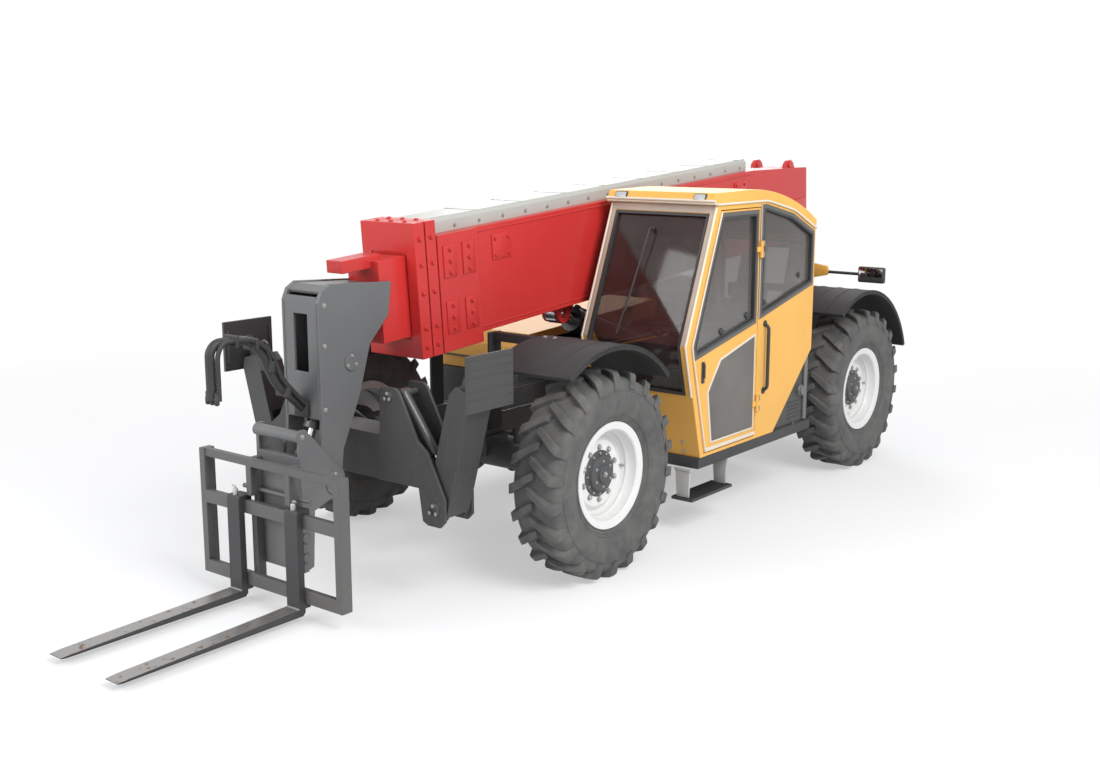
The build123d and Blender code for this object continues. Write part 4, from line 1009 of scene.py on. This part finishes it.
def tinted_glass():
    """Grey-brown safety glass, filmed with dust low on the outer panes and in patches."""
    shader = Shader("tinted safety glass")
    haze = shader.noise(2.2, 4).over(0.35, 0.8)
    film = shader.along("X").over(1.10, 1.16) * (1 - shader.along("Z").over(1.25, 2.15) * 0.7) + haze * 0.2
    return shader.finish(
        Base_Color=shader.mix(film, (0.044, 0.024, 0.021), (0.17, 0.162, 0.152)),
        Roughness=0.04 + film * 0.06,
        Alpha=0.42 + film * 0.2,
        Coat_Weight=0.35,
        Coat_Roughness=0.03,
        Normal=shader.bump(haze, 0.02, 0.002),
    )


dressed(tinted_glass(), "cab_glass", "door_glass")


def inset(outline, gap):
    """A polygon drawn in by gap all round."""
    area = sum(a[0] * b[1] - b[0] * a[1] for a, b in zip(outline, [*outline[1:], outline[0]]))
    turn_sign = 1 if area > 0 else -1
    corners = []
    for k in range(len(outline)):
        before, here, after = (Vector(outline[(k + j) % len(outline)]) for j in (-1, 0, 1))
        first, second = (here - before).normalized(), (after - here).normalized()
        normal = (Vector((-first.y, first.x)) + Vector((-second.y, second.x))) * turn_sign
        corners.append(here + normal * (gap / max(0.3, 1 + first.dot(second))))
    return corners


def seal(outline, width, span, axis="X"):
    """A rubber or trim strip that runs round an outline, between two places across it."""
    low, high = span
    rings = []
    for outer, inner in zip(outline, inset(outline, width)):
        flat = [(*outer, low), (*outer, high), (*inner, high - 2), (*inner, low)]
        rings.append([square_to(axis, *point) for point in flat])
    return skinned(rings, loop=True)


door_window = [(-790, 1350), (-768, 1288), (10, 1448), (10, 2218), (-452, 2218)]
window_tops = [(146, 2252), (548, 2167), (875, 2025)]
quarter_window = [(110, 1480), (110, 2252), *window_tops, (875, 1652)]
right_window = [(-700, 1250), (-812, 1400), (-482, 2240), *window_tops, (875, 1250)]
rear_window = [(380, 1300), (1120, 1300), (1120, 1960), (380, 1960)]
nose_low, belt, screen_top = (-690, 550), (-892, 1359), (-523, 2300)


def on_nose(x, z, out):
    """A place at a height on the cab's front wall, this far out in front of its face."""
    low, high = (nose_low, belt) if z < belt[1] else (belt, screen_top)
    return (x, low[0] + (high[0] - low[0]) * (z - low[1]) / (high[1] - low[1]) - out, z)


def nose_strip(x, low, high):
    """A thin cover over the front wall, between pairs of limits."""
    return plate([on_nose(0, z, out)[1:] for z, out in ((low, 4), (high, 4), (high, -1), (low, -1))], x, 1)


screen_rings = [
    [on_nose(x, z, 5), *(on_nose(x + in_x * 18, z + in_z * 18, out) for out in (3, -32)), on_nose(x, z, -32)]
    for x, z, in_x, in_z in (
        (360, 1010, 1, 1), (360, 1359, 1, 0), (360, 2240, 1, -1), (1140, 2240, -1, -1), (1140, 1359, -1, 0),
        (1140, 1010, -1, 1),
    )
]
pane_depth, band_depth, inner_width = (1166, 1206), (1199, 1204), (352, 1148)
turn_latch = [(1176, 20), (1186, 20), (1192, 12)]
cab_seals = [
    seal(quarter_window, 16, pane_depth),
    seal(right_window, 16, (294, 332)),
    seal(rear_window, 18, (893, 931), "Y"),
    skinned(screen_rings, loop=True),
    *(turned(turn_latch, (0, y, z), sides=16) for y, z in ((180, 1560), (700, 1720))),
]
piece("cab_seals", cab_seals, black_plastic, angle=50)

door_trim = [
    seal(door_window, 16, pane_depth),
    box((1199, 1209), (-700, -668), (1085, 1235)),
    box((1207, 1222), (-692, -676), (1120, 1222), 5),
]
for y, z in ((-420, 1415), (-70, 1490), (-560, 2020)):
    door_trim += [
        turned([(1176, 24), (1188, 24), (1196, 14)], (0, y, z), sides=16),
        box((1186, 1198), (y - 6, y + 30), (z - 7, z + 7)),
    ]
door_trim += [
    box((1112, 1146), (-540, -40), (1150, 1200), 10),
    tube([(1146, -640, 1130), (1104, -640, 1150), (1104, -560, 1290), (1146, -560, 1310)], 11, 30),
]
piece("door_trim", door_trim, black_plastic, "cab_door", 50)
# Grey bands carry the glazing over the frames, so that only a thin light post parts the panes.
band_grey = moulded("glazing band grey", (0.075, 0.069, 0.064), 0.28, 0.05)
for name, window, body in (("door", door_window, "cab_door"), ("quarter", quarter_window, "chassis")):
    piece(f"{name}_glazing_band", [seal(window, -29, band_depth)], band_grey, body, 50)

# A grey kick panel is set into the lower door behind a pale pressed rim.
kick_outline = [(-556, 650), (-610, 1010), (-450, 1215), (16, 1330), (16, 650)]
panel_grey = moulded("door panel grey", (0.105, 0.098, 0.090), 0.4, 0.2)
# A pale paint for the kick panel's rim, also used as a painted highlight along the door's and the roof's
# edges.
trim_and_highlight_paint = paint("trim paint and painted highlight", "body_yellow", (0.70, 0.62, 0.50), 0.4, 0.2, 0.3)
piece("door_kick_panel", [plate(kick_outline, (1197, 1204), 2)], panel_grey, "cab_door")
trim_parts = [
    seal(kick_outline, -14, (1197, 1207)),
    # pale strips along the door's bottom and front edges: a painted highlight, the light caught on these
    # edges
    plate([(-633, 584), (-640, 612), (56, 612), (56, 584)], (1198, 1207)),
    tube([(1203, -635, 600), (1203, -828, 1352), (1203, -479, 2250)], 7, 30, 8),
]
piece("door_trim_and_highlight", trim_parts, trim_and_highlight_paint, "cab_door", 50)
# The roof's lower edge carries a gutter, and so do the front pillars; their pale paint is a painted highlight
# along these edges.
roof_line = [(-555, 2306), (150, 2306), (560, 2221), (925, 2062)]
gutter = [tube([(x, y, z) for y, z in roof_line], 9, 60, 8) for x in (293, 1207)]
gutter += [tube([(293, y, z), (1207, y, z)], 10, sides=8) for y, z in ((-566, 2312), (-580.4, 2330))]
for x in (312, 1188):
    gutter.append(tube([on_nose(x, z, 2) for z in (1000, 1340, 1359, 1380, 2290)], 9, 60, 8))
piece("cab_gutter_and_highlight", gutter, trim_and_highlight_paint, angle=50)
# Beige covers on the front pillars, the door's rear post and the screen's header; their pale tone is a
# painted highlight along these edges.
pillar_highlight_beige = moulded("pillar beige painted highlight", (0.40, 0.33, 0.27), 0.45, 0.1, "body_yellow")
pillars = [nose_strip((low, low + 36), 1366, 2296) for low in (318, 1146)]
pillars += [box((1199, 1206), (63, 77), (1452, 2288), 2), nose_strip(inner_width, 2246, 2304)]
piece("cab_pillar_covers", pillars, pillar_highlight_beige, angle=50)

# Moulded grey linings cover the walls, the roof and the inner side of the door.
lining_grey = moulded("cab lining grey", (0.060, 0.058, 0.056), 0.6, 0.3)
door_lining = [
    plate([(-592, 622), (-756, 1258), (12, 1412), (12, 622)], (1143, 1152.5), 4),
    plate([(-560, 660), (-610, 860), (-60, 860), (-60, 660)], (1120, 1144), 10),
]
piece("door_lining", door_lining, lining_grey, "cab_door")
rear_corner = [(868, 1140), (318, 604)]
roof_lining = [
    (-478, 2251), (145, 2251), (552, 2166), (870, 2017), (866, 2009), (549, 2158), (143, 2242), (-478, 2242),
]
linings = [
    plate([(-646, 604), (-804, 1238), (868, 1238), *rear_corner], (349.5, 356), 2),
    plate([(76, 604), (76, 1445), (868, 1622), *rear_corner], (1144, 1150.5), 2),
    plate([(-648, 604), (-748, 1000), (-741, 1000), (-641, 604)], inner_width, 1),
    plate([(322, 604), (869, 1137), (864, 1143), (316, 604)], inner_width, 1),
    plate(roof_lining, inner_width, 1),
    box(inner_width, (868, 875.5), (1138, 1284), 2),
]
piece("cab_linings", linings, lining_grey)

# Hinge bolts, wiper, work lamps, grab rail and the sill's edge, all fixed to the shell.
cab_bolts = [hex_bolt(12, 7, "+X", (1214, 96, z)) for z in (770, 790, 850, 870, 1910, 1930, 1990, 2010)]
cab_bolts += [bolt_row(on_nose(430, z, 1), (215, 0, 0), 4, "-Y", 16, 9) for z in (590, 660)]
piece("cab_bolts", cab_bolts, bolt_steel)

wiper_pivot = Vector(on_nose(700, 2120, 14))
blade_low, blade_high = Vector(on_nose(605, 1400, 6)), Vector(on_nose(655, 1760, 6))
cab_black = [
    tube([wiper_pivot + Vector((0, 30, 0)), wiper_pivot], 14, sides=14),
    tube([wiper_pivot, wiper_pivot + Vector((0, -10, 10)), on_nose(640, 1560, 16)], 6, 10, 8),
    tube([blade_low, blade_low.lerp(blade_high, 0.5) + Vector((0, -8, 0)), blade_high], 6, 200, 8),
    tube([(1196, 170, 900), (1235, 170, 925), (1235, 170, 1380), (1196, 170, 1405)], 13, 30, 14),
    *(turned([(1198, 26), (1206, 24)], (0, 170, z), sides=20) for z in (900, 1405)),
    box((256, 1196), (-706, -698), (474, 548)),
    box((1186, 1196), (-700, 950), (474, 548)),
]
lamp_lenses = []
for x in (420, 1080):
    cab_black.append(plate([(-588, 2334), (-560, 2334), (-548, 2378), (-570, 2378)], (x - 48, x + 48), 4))
    lamp_lenses.append(plate([(-591, 2338), (-580, 2338), (-566, 2374), (-575, 2374)], (x - 43, x + 43)))
piece("cab_black_fittings", cab_black, black_plastic, angle=50)


def lens(name, colour):
    """Moulded lamp lens with fine prisms behind a smooth face."""
    shader = Shader(name, "glass")
    prisms = shader.bands(60.0, wave_type="BANDS")
    return shader.finish(
        Base_Color=shader.shades(prisms * 0.5, colour, 1, 0.55),
        Roughness=0.12 + prisms * 0.1,
        Coat_Weight=1.0,
        Normal=shader.bump(prisms, 0.25, 0.001),
    )


clear_lens = lens("clear lamp lens", (0.46, 0.48, 0.50))
red_lens = lens("red lamp lens", (0.45, 0.012, 0.01))
amber_lens = lens("amber lamp lens", (0.75, 0.22, 0.02))
piece("roof_lamp_lenses", lamp_lenses, clear_lens)

# ---------- step and platform
# Two light hangers carry a folded tread under the door, with raised grip ridges.
# Each flat hanger has a wider head where it meets the sill.
step_parts = []
for y in (-735, -235):
    step_parts += [
        plate([(1045, 262), (1030, 468), (1150, 468), (1140, 262)], (y - 9, y + 9), 2, "Y"),
        box((1020, 1160), (y - 14, y + 14), (455, 469)),
    ]
step_grey = paint("step light grey paint", "tray_grey", (0.46, 0.46, 0.44), 0.45, 0.1, 0.35)
piece("step_hangers", step_parts, step_grey, replaces="cab_step")
ridge = plate([(1016, 262), (1016, 266), (1179, 266), (1179, 262)], (-752, -746), 1, "Y")
tread_parts = [box((1010, 1185), (-760, -215), (240, 262), 4), repeated(ridge, 22, step=(0, 24.5, 0))]
piece("step_tread", tread_parts, black_plastic)

# ---------- operator's seat
# Foam cushions in woven grey-black cloth over a pressed pan on a suspension base. The
# covers are sewn with welted edges and cross channels.
def seat_cloth():
    """Hard-wearing woven cloth: crossing threads, slightly faded on top."""
    shader = Shader("woven seat cloth", "seat_fabric")
    warp, weft, fill = (shader.bands(110.0, bands_direction=axis) for axis in "XZY")
    threads = warp * 0.4 + weft * 0.35 + fill * 0.35
    fade = shader.noise(6, 3)
    return shader.finish(
        Base_Color=shader.mix(threads * 0.6 + fade * 0.3, (0.028, 0.028, 0.032), (0.085, 0.085, 0.092)),
        Roughness=0.85 + fade * 0.1,
        Sheen_Weight=0.3,
        Normal=shader.bump(threads, 0.5, 0.0015),
    )


cloth = seat_cloth()
channel_half, channel_depth = 0.028, 0.011


def swollen(pad):
    """Lets air pressure fill a cover for twenty frames, and applies it."""
    swell = pad.modifiers.new("swell", "CLOTH")
    swell.settings.use_pressure = True
    swell.settings.uniform_pressure_force = 4
    swell.settings.effector_weights.gravity = 0
    swell.settings.quality = 5
    swell.point_cache.frame_start, swell.point_cache.frame_end = 1, 20
    for step in range(1, 21):
        bpy.context.scene.frame_set(step)
    pad.data = result_of(pad)
    pad.modifiers.clear()
    bpy.context.scene.frame_set(1)


def cushion(name, outline, span, crown, channels, along):
    """A padded cushion, swollen by a cloth simulation that is applied, then sewn with channels.

    Its outline is (y, z) across X. Channels are places along the axis named along, where a
    seam draws the cover in.
    """
    draw_in = crown * 0.6
    shrink = [tuple(p) for p in inset(outline, draw_in)]
    pad = placed(name, assembled([plate(shrink, (span[0] + draw_in, span[1] - draw_in), 22)]))
    bpy.context.view_layer.objects.active = pad
    remesh = pad.modifiers.new("remesh", "REMESH")
    remesh.mode, remesh.voxel_size = "VOXEL", 0.012
    pad.data = result_of(pad)
    pad.modifiers.clear()
    before = [vert.co.copy() for vert in pad.data.vertices]
    swollen(pad)
    limit = crown / 1000
    for vert, rest in zip(pad.data.vertices, before):
        shift = vert.co - rest
        if shift.length > limit:
            vert.co = rest + shift * (limit / shift.length)
    axis = "XYZ".index(along)
    for vert in pad.data.vertices:
        normal = vert.normal
        for place in channels:
            near = abs(vert.co[axis] - place)
            if near < channel_half:
                vert.co -= normal * channel_depth * (1 - near / channel_half) ** 2
    smooth = pad.modifiers.new("smooth", "SUBSURF")
    smooth.levels = smooth.render_levels = 1
    pad.data.materials.append(cloth)
    pad.data.shade_smooth()
    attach(pad, "chassis")
    return pad


seat_outline = [(-165, 905), (-190, 960), (-165, 1018), (60, 1008), (440, 1012), (450, 915)]
back_outline = [(440, 1030), (540, 1030), (636, 1480), (556, 1490)]
head_outline = [(562, 1520), (640, 1512), (636, 1632), (572, 1652)]
seat_pad = cushion("seat_cushion", seat_outline, (505, 995), 14, [0.62, 0.88], "X")
back_pad = cushion("seat_back_cushion", back_outline, (520, 980), 12, [1.18, 1.33], "Z")
cushion("seat_head_cushion", head_outline, (620, 880), 9, [], "Z")
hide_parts("operator_seat")


def welt(pad, corners, step=36):
    """A sewn welt that lies on a cushion's cover, nearest to a line through these corners."""
    cover = BVHTree.FromObject(pad, bpy.context.evaluated_depsgraph_get())
    line = []
    for start, end in zip(corners, corners[1:]):
        start, end = Vector(start), Vector(end)
        count = max(2, round((end - start).length / step))
        for k in range(count + 1):
            nearest = cover.find_nearest(to_frame @ start.lerp(end, k / count))[0]
            line.append(to_frame.inverted() @ nearest)
    kept = [line[0]]
    for point in line[1:]:
        if (point - kept[-1]).length > step / 3:
            kept.append(point)
    return tube(kept, 4.5, 12, 8, 2)


welts = [
    welt(seat_pad, [(480, 420, 1045), (480, -190, 1045), (1020, -190, 1045), (1020, 420, 1045)]),
    welt(back_pad, [(495, 415, 1060), (495, 528, 1500), (1005, 528, 1500), (1005, 415, 1060)]),
]
piece("seat_welts", welts, cloth, angle=80)
seat_frame = [
    plate([(-90, 606), (260, 606), (300, 700), (-90, 700)], (580, 920), 8),
    plate([(-120, 800), (440, 800), (470, 898), (-150, 898)], (540, 960), 10),
    plate([(446, 905), (545, 1020), (652, 1500), (640, 1504), (480, 905)], (540, 960), 6),
    *(tube([(x, 610, 1440), (x, 612, 1560)], 8) for x in (660, 840)),
    # Rubber bellows of the suspension, and the armrests on their swinging brackets.
    turned([(700 + k * 12.5, (150, 168)[k % 2]) for k in range(9)], (750, 120, 0), "Z", 28),
    *(box((x - 28, x + 28), (120, 470), (1190, 1225), 12) for x in (478, 1022)),
    *(tube([(x, 440, 1200), (x, 520, 1150)], 16) for x in (478, 1022)),
    tube([(478, 170, 1225), (478, 160, 1300)], 9),
    turned([(1290, 12), (1300, 20), (1330, 22), (1350, 14), (1356, 4)], (478, 158, 0), "Z", 20),
]
piece("seat_frame", seat_frame, black_plastic, angle=50)

# ---------- steering column and controls
# A moulded column with an instrument hood, a padded steering wheel with a spinner knob,
# pedals on the floor and a lever stand on the seat's right.
wheel_radius, grip_radius = 176, 13
wheel_tilt = Vector((0, 0, 1)).rotation_difference(Vector((0, 90, 150))).to_matrix().to_4x4()
wheel_place = Matrix.Translation((750, -384, 1340)) @ wheel_tilt
wheel_rings = []
for a in round_angles(64):
    ring = []
    for b in round_angles(12):
        r = wheel_radius + grip_radius * math.cos(b)
        ring.append((r * math.cos(a), r * math.sin(a), 14 + grip_radius * math.sin(b)))
    wheel_rings.append(ring)
wheel_parts = [
    skinned(wheel_rings, loop=True),
    turned([(0, 30), (22, 34), (34, 26), (40, 8)], (0, 0, 0), "Z", 28),
    turned([(14, 8), (40, 8), (46, 20), (70, 22), (80, 10)], (-150, 90, 0), "Z", 20),
]
for a in (90, 210, 330):
    c, s = math.cos(math.radians(a)), math.sin(math.radians(a))
    wheel_parts.append(tube([(r * c, r * s, z) for r, z in ((20, 20), (100, 12), (170, 14))], 9, 40, 8))
for part in wheel_parts:
    part.transform(wheel_place)
console_parts = wheel_parts + [
    plate([(-600, 600), (-525, 600), (-478, 1178), (-530, 1186)], (690, 810), 14),
    plate([(-655, 1176), (-430, 1112), (-412, 1150), (-470, 1236), (-628, 1262)], (570, 930), 18),
    box((500, 1000), (-640, -560), (604, 640), 10),
    tube([(750, -490, 1185), (750, -392, 1328)], 24, sides=20),
    box((360, 450), (-260, 420), (604, 1040), 18),
    box(inner_width, (-640, 860), (600, 604), 1),
]
for x, lift in ((560, 0), (640, 0), (900, 12)):
    pedal = [(-560, 640 + lift), (-470, 690 + lift), (-474, 702 + lift), (-566, 652 + lift)]
    console_parts.append(plate(pedal, (x - 30, x + 30)))
for y in (-190, -115, -40, 35):
    console_parts += [
        tube([(405, y, 1035), (405, y - 10, 1110)], 6),
        turned([(1105, 8), (1115, 15), (1140, 16), (1150, 8)], (405, y - 12, 0), "Z", 16),
    ]
piece("controls", console_parts, black_plastic, angle=50, replaces="steering_console")
gauge_faces = []
for x, size in ((640, 34), (750, 46), (860, 34)):
    dial = turned([(0, size), (4, size - 1)], (0, 0, 0), "Z", 28)
    dial.transform(Matrix.Translation((x, -452, 1200)) @ Matrix.Rotation(math.radians(-52), 4, "X"))
    gauge_faces.append(dial)
piece("gauge_faces", gauge_faces, clear_lens)

# ---------- fuel tank
# A welded steel tank closes the cab's slanted rear corner. It is strapped down, and filled
# through a locking cap on its outer face.
eased("fuel_tank", frame_grey, offset=10)
tank_parts = [
    turned([(1168, 46), (1184, 46), (1190, 40), (1204, 38), (1208, 30)], (0, 810, 800), sides=32),
    box((1170, 1186), (855, 905), (560, 1080), 5),
    tube([(1178, 700, 560), (1178, 700, 545), (1178, 700, 500)], 10),
]
piece("tank_cap_and_strap", tank_parts, boom_grey)
vent_slots = [box((1169, 1173), (620, 800), (z, z + 12), 1) for z in range(596, 717, 30)]
vent_slots += [
    box((1169, 1174), (912, 934), (580, 1040), 2),
    plate([(700, 900), (790, 1010), (790, 900)], (1169, 1175), 2),
]
piece("tank_black_trim", vent_slots, black_plastic)

# ---------- engine side
# The diesel engine lies along the right-hand side in a welded cradle, under a pressed lid
# that hinges at its inner edge. Louvres let the cooling air through.
eased("engine_cradle", frame_grey)
eased("engine_hood", body_yellow, "engine_hood", 8)


def louvres(name, width, columns, count, low, material, body="chassis"):
    """Columns of pressed louvres, each louvre hooded above and open below."""
    parts = []
    for column in columns:
        rings = []
        for k in range(7):
            a = math.pi * k / 6
            y = -width / 2 * math.cos(a)
            swell = 16 * math.sin(a) ** 0.5 if 0 < k < 6 else 0.0
            profile = [(-2, 14), (-2 - 0.35 * swell, 10), (-2 - swell, -10), (-1 - swell, -13), (-1, -13)]
            rings.append([(x, y, z) for x, z in profile])
        parts.append(repeated(skinned(rings, caps=True), count, (-1160, column, low), (0, 0, 38)))
    piece(name, parts, material, body, 50)


louvres("hood_louvres", 300, (-560, -210, 140), 5, 1060, body_yellow, "engine_hood")
louvres("cradle_vents", 340, (-560, -100, 360), 8, 660, frame_grey)
hood_fittings = [
    tube([(-1161, -904, 1004), (-1161, 956, 1004)], 5, sides=8),
    tube([(-1040, -904, 1096), (-1040, -922, 1096), (-420, -922, 1096), (-420, -904, 1096)], 8, 16, 10),
]
for y in (-620, 700):
    hood_fittings += [
        box((-1172, -1159), (y - 26, y + 26), (1022, 1072), 4),
        tube([(-1176, y - 16, 1040), (-1182, y, 1040), (-1176, y + 16, 1040)], 5, 8, 8),
    ]
piece("hood_fittings", hood_fittings, black_plastic, "engine_hood", 50)

engine_iron = cast_iron("engine block iron", (0.10, 0.105, 0.11))
engine_parts = [
    box((-900, -560), (-440, 420), (610, 860), 18),
    box((-880, -590), (-420, 400), (860, 1010), 14),
    box((-850, -620), (-400, 380), (1010, 1080), 26),
    box((-880, -580), (-400, 380), (552, 612), 22),
    turned([(420, 190), (520, 200), (560, 180), (610, 120)], (-730, 0, 720), "Y", 36),
    turned([(-540, 90), (-500, 92), (-498, 60), (-442, 60)], (-730, 0, 640), "Y", 32),
    turned([(-540, 60), (-500, 62), (-498, 40), (-442, 40)], (-820, 0, 900), "Y", 28),
    turned([(-60, 48), (-30, 66), (60, 66), (90, 48)], (-960, 120, 940), "Y", 28),
    tube([(-500, -320, 960), (-500, 330, 960), (-500, 560, 960), (-540, 620, 900)], 36, 60, 16),
]
for y in (-330, -120, 90, 300):
    engine_parts += [
        tube([(-590, y, 960), (-520, y, 960), (-500, y + 30, 960)], 28, 40, 14),
        turned([(1078, 30), (1090, 30), (1094, 22)], (-735, y, 0), "Z", 18),
        box((-906, -898), (y - 70, y + 70), (640, 830), 6),
    ]
piece("engine_block", engine_parts, engine_iron, replaces="engine")
# The drive belt runs round the crank and alternator pulleys, in (x, z).
belt = [(-820, 962), (-880, 900), (-800, 590), (-730, 548), (-650, 600), (-760, 940), (-820, 962)]
engine_hoses = [
    tube([(-730, -470, 1000), (-730, -540, 1010), (-900, -545, 1060), (-1000, -500, 1100)], 24, 70, 14),
    tube([(-960, 180, 940), (-1010, 300, 1020), (-900, 450, 1130), (-760, 520, 1150)], 40, 90, 16),
    turned([(380, 105), (400, 115), (590, 115), (612, 96)], (-700, 0, 1080), "Y", 36),
    tube([(-560, -300, 600), (-440, -260, 590), (-400, 100, 590), (-380, 700, 600)], 14, 60, 10),
    tube([(-560, -240, 640), (-450, -200, 640), (-430, 160, 650), (-400, 760, 640)], 14, 60, 10),
    box((-1050, -940), (300, 560), (560, 760), 14),
    tube([(x, -520, z) for x, z in belt], 7, 60, 8),
]
piece("engine_hoses", engine_hoses, hose_rubber, angle=50)
stack_x = -420
stack_run = [(930, 980), (1010, 980), (1040, 1050), (1040, 1560), (1075, 1600)]
exhaust = [
    tube([(stack_x, y, z) for y, z in stack_run], 32, 60, 20),
    turned([(1080, 40), (1095, 62), (1380, 62), (1400, 40)], (stack_x, 1040, 0), "Z", 36),
    box((-480, -360), (962, 1000), (560, 1060), 10),
    box((-462, -378), (990, 1034), (1150, 1180), 4),
]
piece("exhaust_stack", exhaust, cast_iron("exhaust steel", (0.13, 0.115, 0.10)), angle=50)

# ---------- fenders
# Black fenders of moulded plastic sheet with rolled rims, on steel brackets off the frame.
# Stiffening beads run over their crowns.
fender_black = moulded("fender black", (0.009, 0.009, 0.010), 0.6, 0.3)
eased("fenders", fender_black, offset=5)
fender_rims, fender_bolts = [], []
for axle_y, first, last in ((-half_base, 43, 124), (half_base, 20, 125)):
    arc = [math.radians(first + (last - first) * k / 26) for k in range(27)]
    for side, facing in reversed(flanks):
        beads = [(1258, 828, arc, 7), (644, 826, arc, 7), (1258, 806, arc, 7)]
        beads += [(x, 830, arc[1:-1], 6) for x in (800, 950, 1100)]
        for x, r, run, size in beads:
            path = [(x, axle_y + r * math.cos(a), hub_z + r * math.sin(a)) for a in run]
            fender_rims.append(tube(path, size, sides=8, out=side))
        fender_bolts += [hex_bolt(20, 10, "+Z", (side * x, axle_y, 1496)) for x in (700, 780)]
        fender_bolts += [hex_bolt(22, 12, facing, (side * 276, axle_y + 36, z)) for z in (1180, 1340)]
piece("fender_rims", fender_rims, fender_black, angle=60)
piece("fender_bolts", fender_bolts, bolt_steel)

# ---------- tail of the machine
# Lamp clusters in steel guards, reflectors, a towing jaw under the counterweight, and the
# lifting eyes used when the counterweight is fitted.
tail_parts, tail_red, tail_amber, tail_bolts = [], [], [], []
for side in (-1, 1):
    x = side * 660
    tail_parts.append(box((x - 100, x + 100), (2786, 2798), (878, 992)))
    for out, lenses in ((-64, tail_red), (0, tail_red), (64, tail_amber)):
        middle = x + side * out
        lenses.append(box((middle - 29, middle + 29), (2795, 2822), (888, 982), 6))
    tail_red.append(turned([(2816, 38), (2826, 36)], (side * 420, 0, 760), "Y", 28))
    eye = [(500, 2700, 1146), (500, 2700, 1196), (500, 2760, 1196), (500, 2760, 1146)]
    tail_parts.append(tube(eye, 14, 30, 10, out=side))
    tail_bolts += [hex_bolt(9, 5, "+Y", (foot, 2798, z)) for foot in (x - 92, x + 92) for z in (886, 984)]
jaw = [(-84, 2680), (84, 2680), (84, 2770), (50, 2824), (-50, 2824), (-84, 2770)]
tail_parts += [plate(jaw, (z, z + 24), 4, "Z") for z in (560, 652)]
tail_parts += [
    tube([(0, 2782, 545), (0, 2782, 690)], 17, sides=20),
    tube([(0, 2782, 688), (0, 2782, 704), (40, 2782, 704)], 6, 8, 8),
]
piece("tail_fittings", tail_parts, frame_grey)
piece("tail_bolts", tail_bolts, bolt_steel)
piece("tail_red_lenses", tail_red, red_lens)
piece("tail_amber_lenses", tail_amber, amber_lens)

# ---------- rear mirror
# A moulded black head with a flat mirror, on a bent tube arm clamped to the frame.
# Its yellow bracket takes the arm's foot.
mirror_parts = [
    tube([(262, 2150, 1270), (420, 2150, 1270), (420, 2150, 1590), (1060, 2150, 1590)], 13, 50, 14),
    box((1000, 1240), (2124, 2168), (1522, 1658), 20),
    box((1030, 1080), (2112, 2172), (1572, 1606), 6),
    turned([(395, 19), (445, 19)], (0, 2150, 1590), sides=18),
]
piece("mirror_head", mirror_parts, black_plastic, angle=50, replaces="rear_mirror")
bracket = [
    box((256, 270), (2090, 2210), (1240, 1300)),
    box((404, 436), (2128, 2172), (1400, 1500), 5),
    plate([(560, 1530), (700, 1560), (720, 1590), (700, 1640), (560, 1660)], (2134, 2166), 6, "Y"),
]
piece("mirror_bracket", bracket, body_yellow)


def mirror_face():
    """Silvered glass with a faint film of dust."""
    shader = Shader("silvered mirror", "glass")
    film = shader.noise(5, 3)
    tone = shader.mix(film, (0.72, 0.74, 0.75), (0.62, 0.62, 0.60))
    return shader.finish(Base_Color=tone, Metallic=1.0, Roughness=0.03 + film * 0.06)


piece("mirror_glass", [box((1012, 1228), (2121, 2125), (1534, 1646), 1.5)], mirror_face())
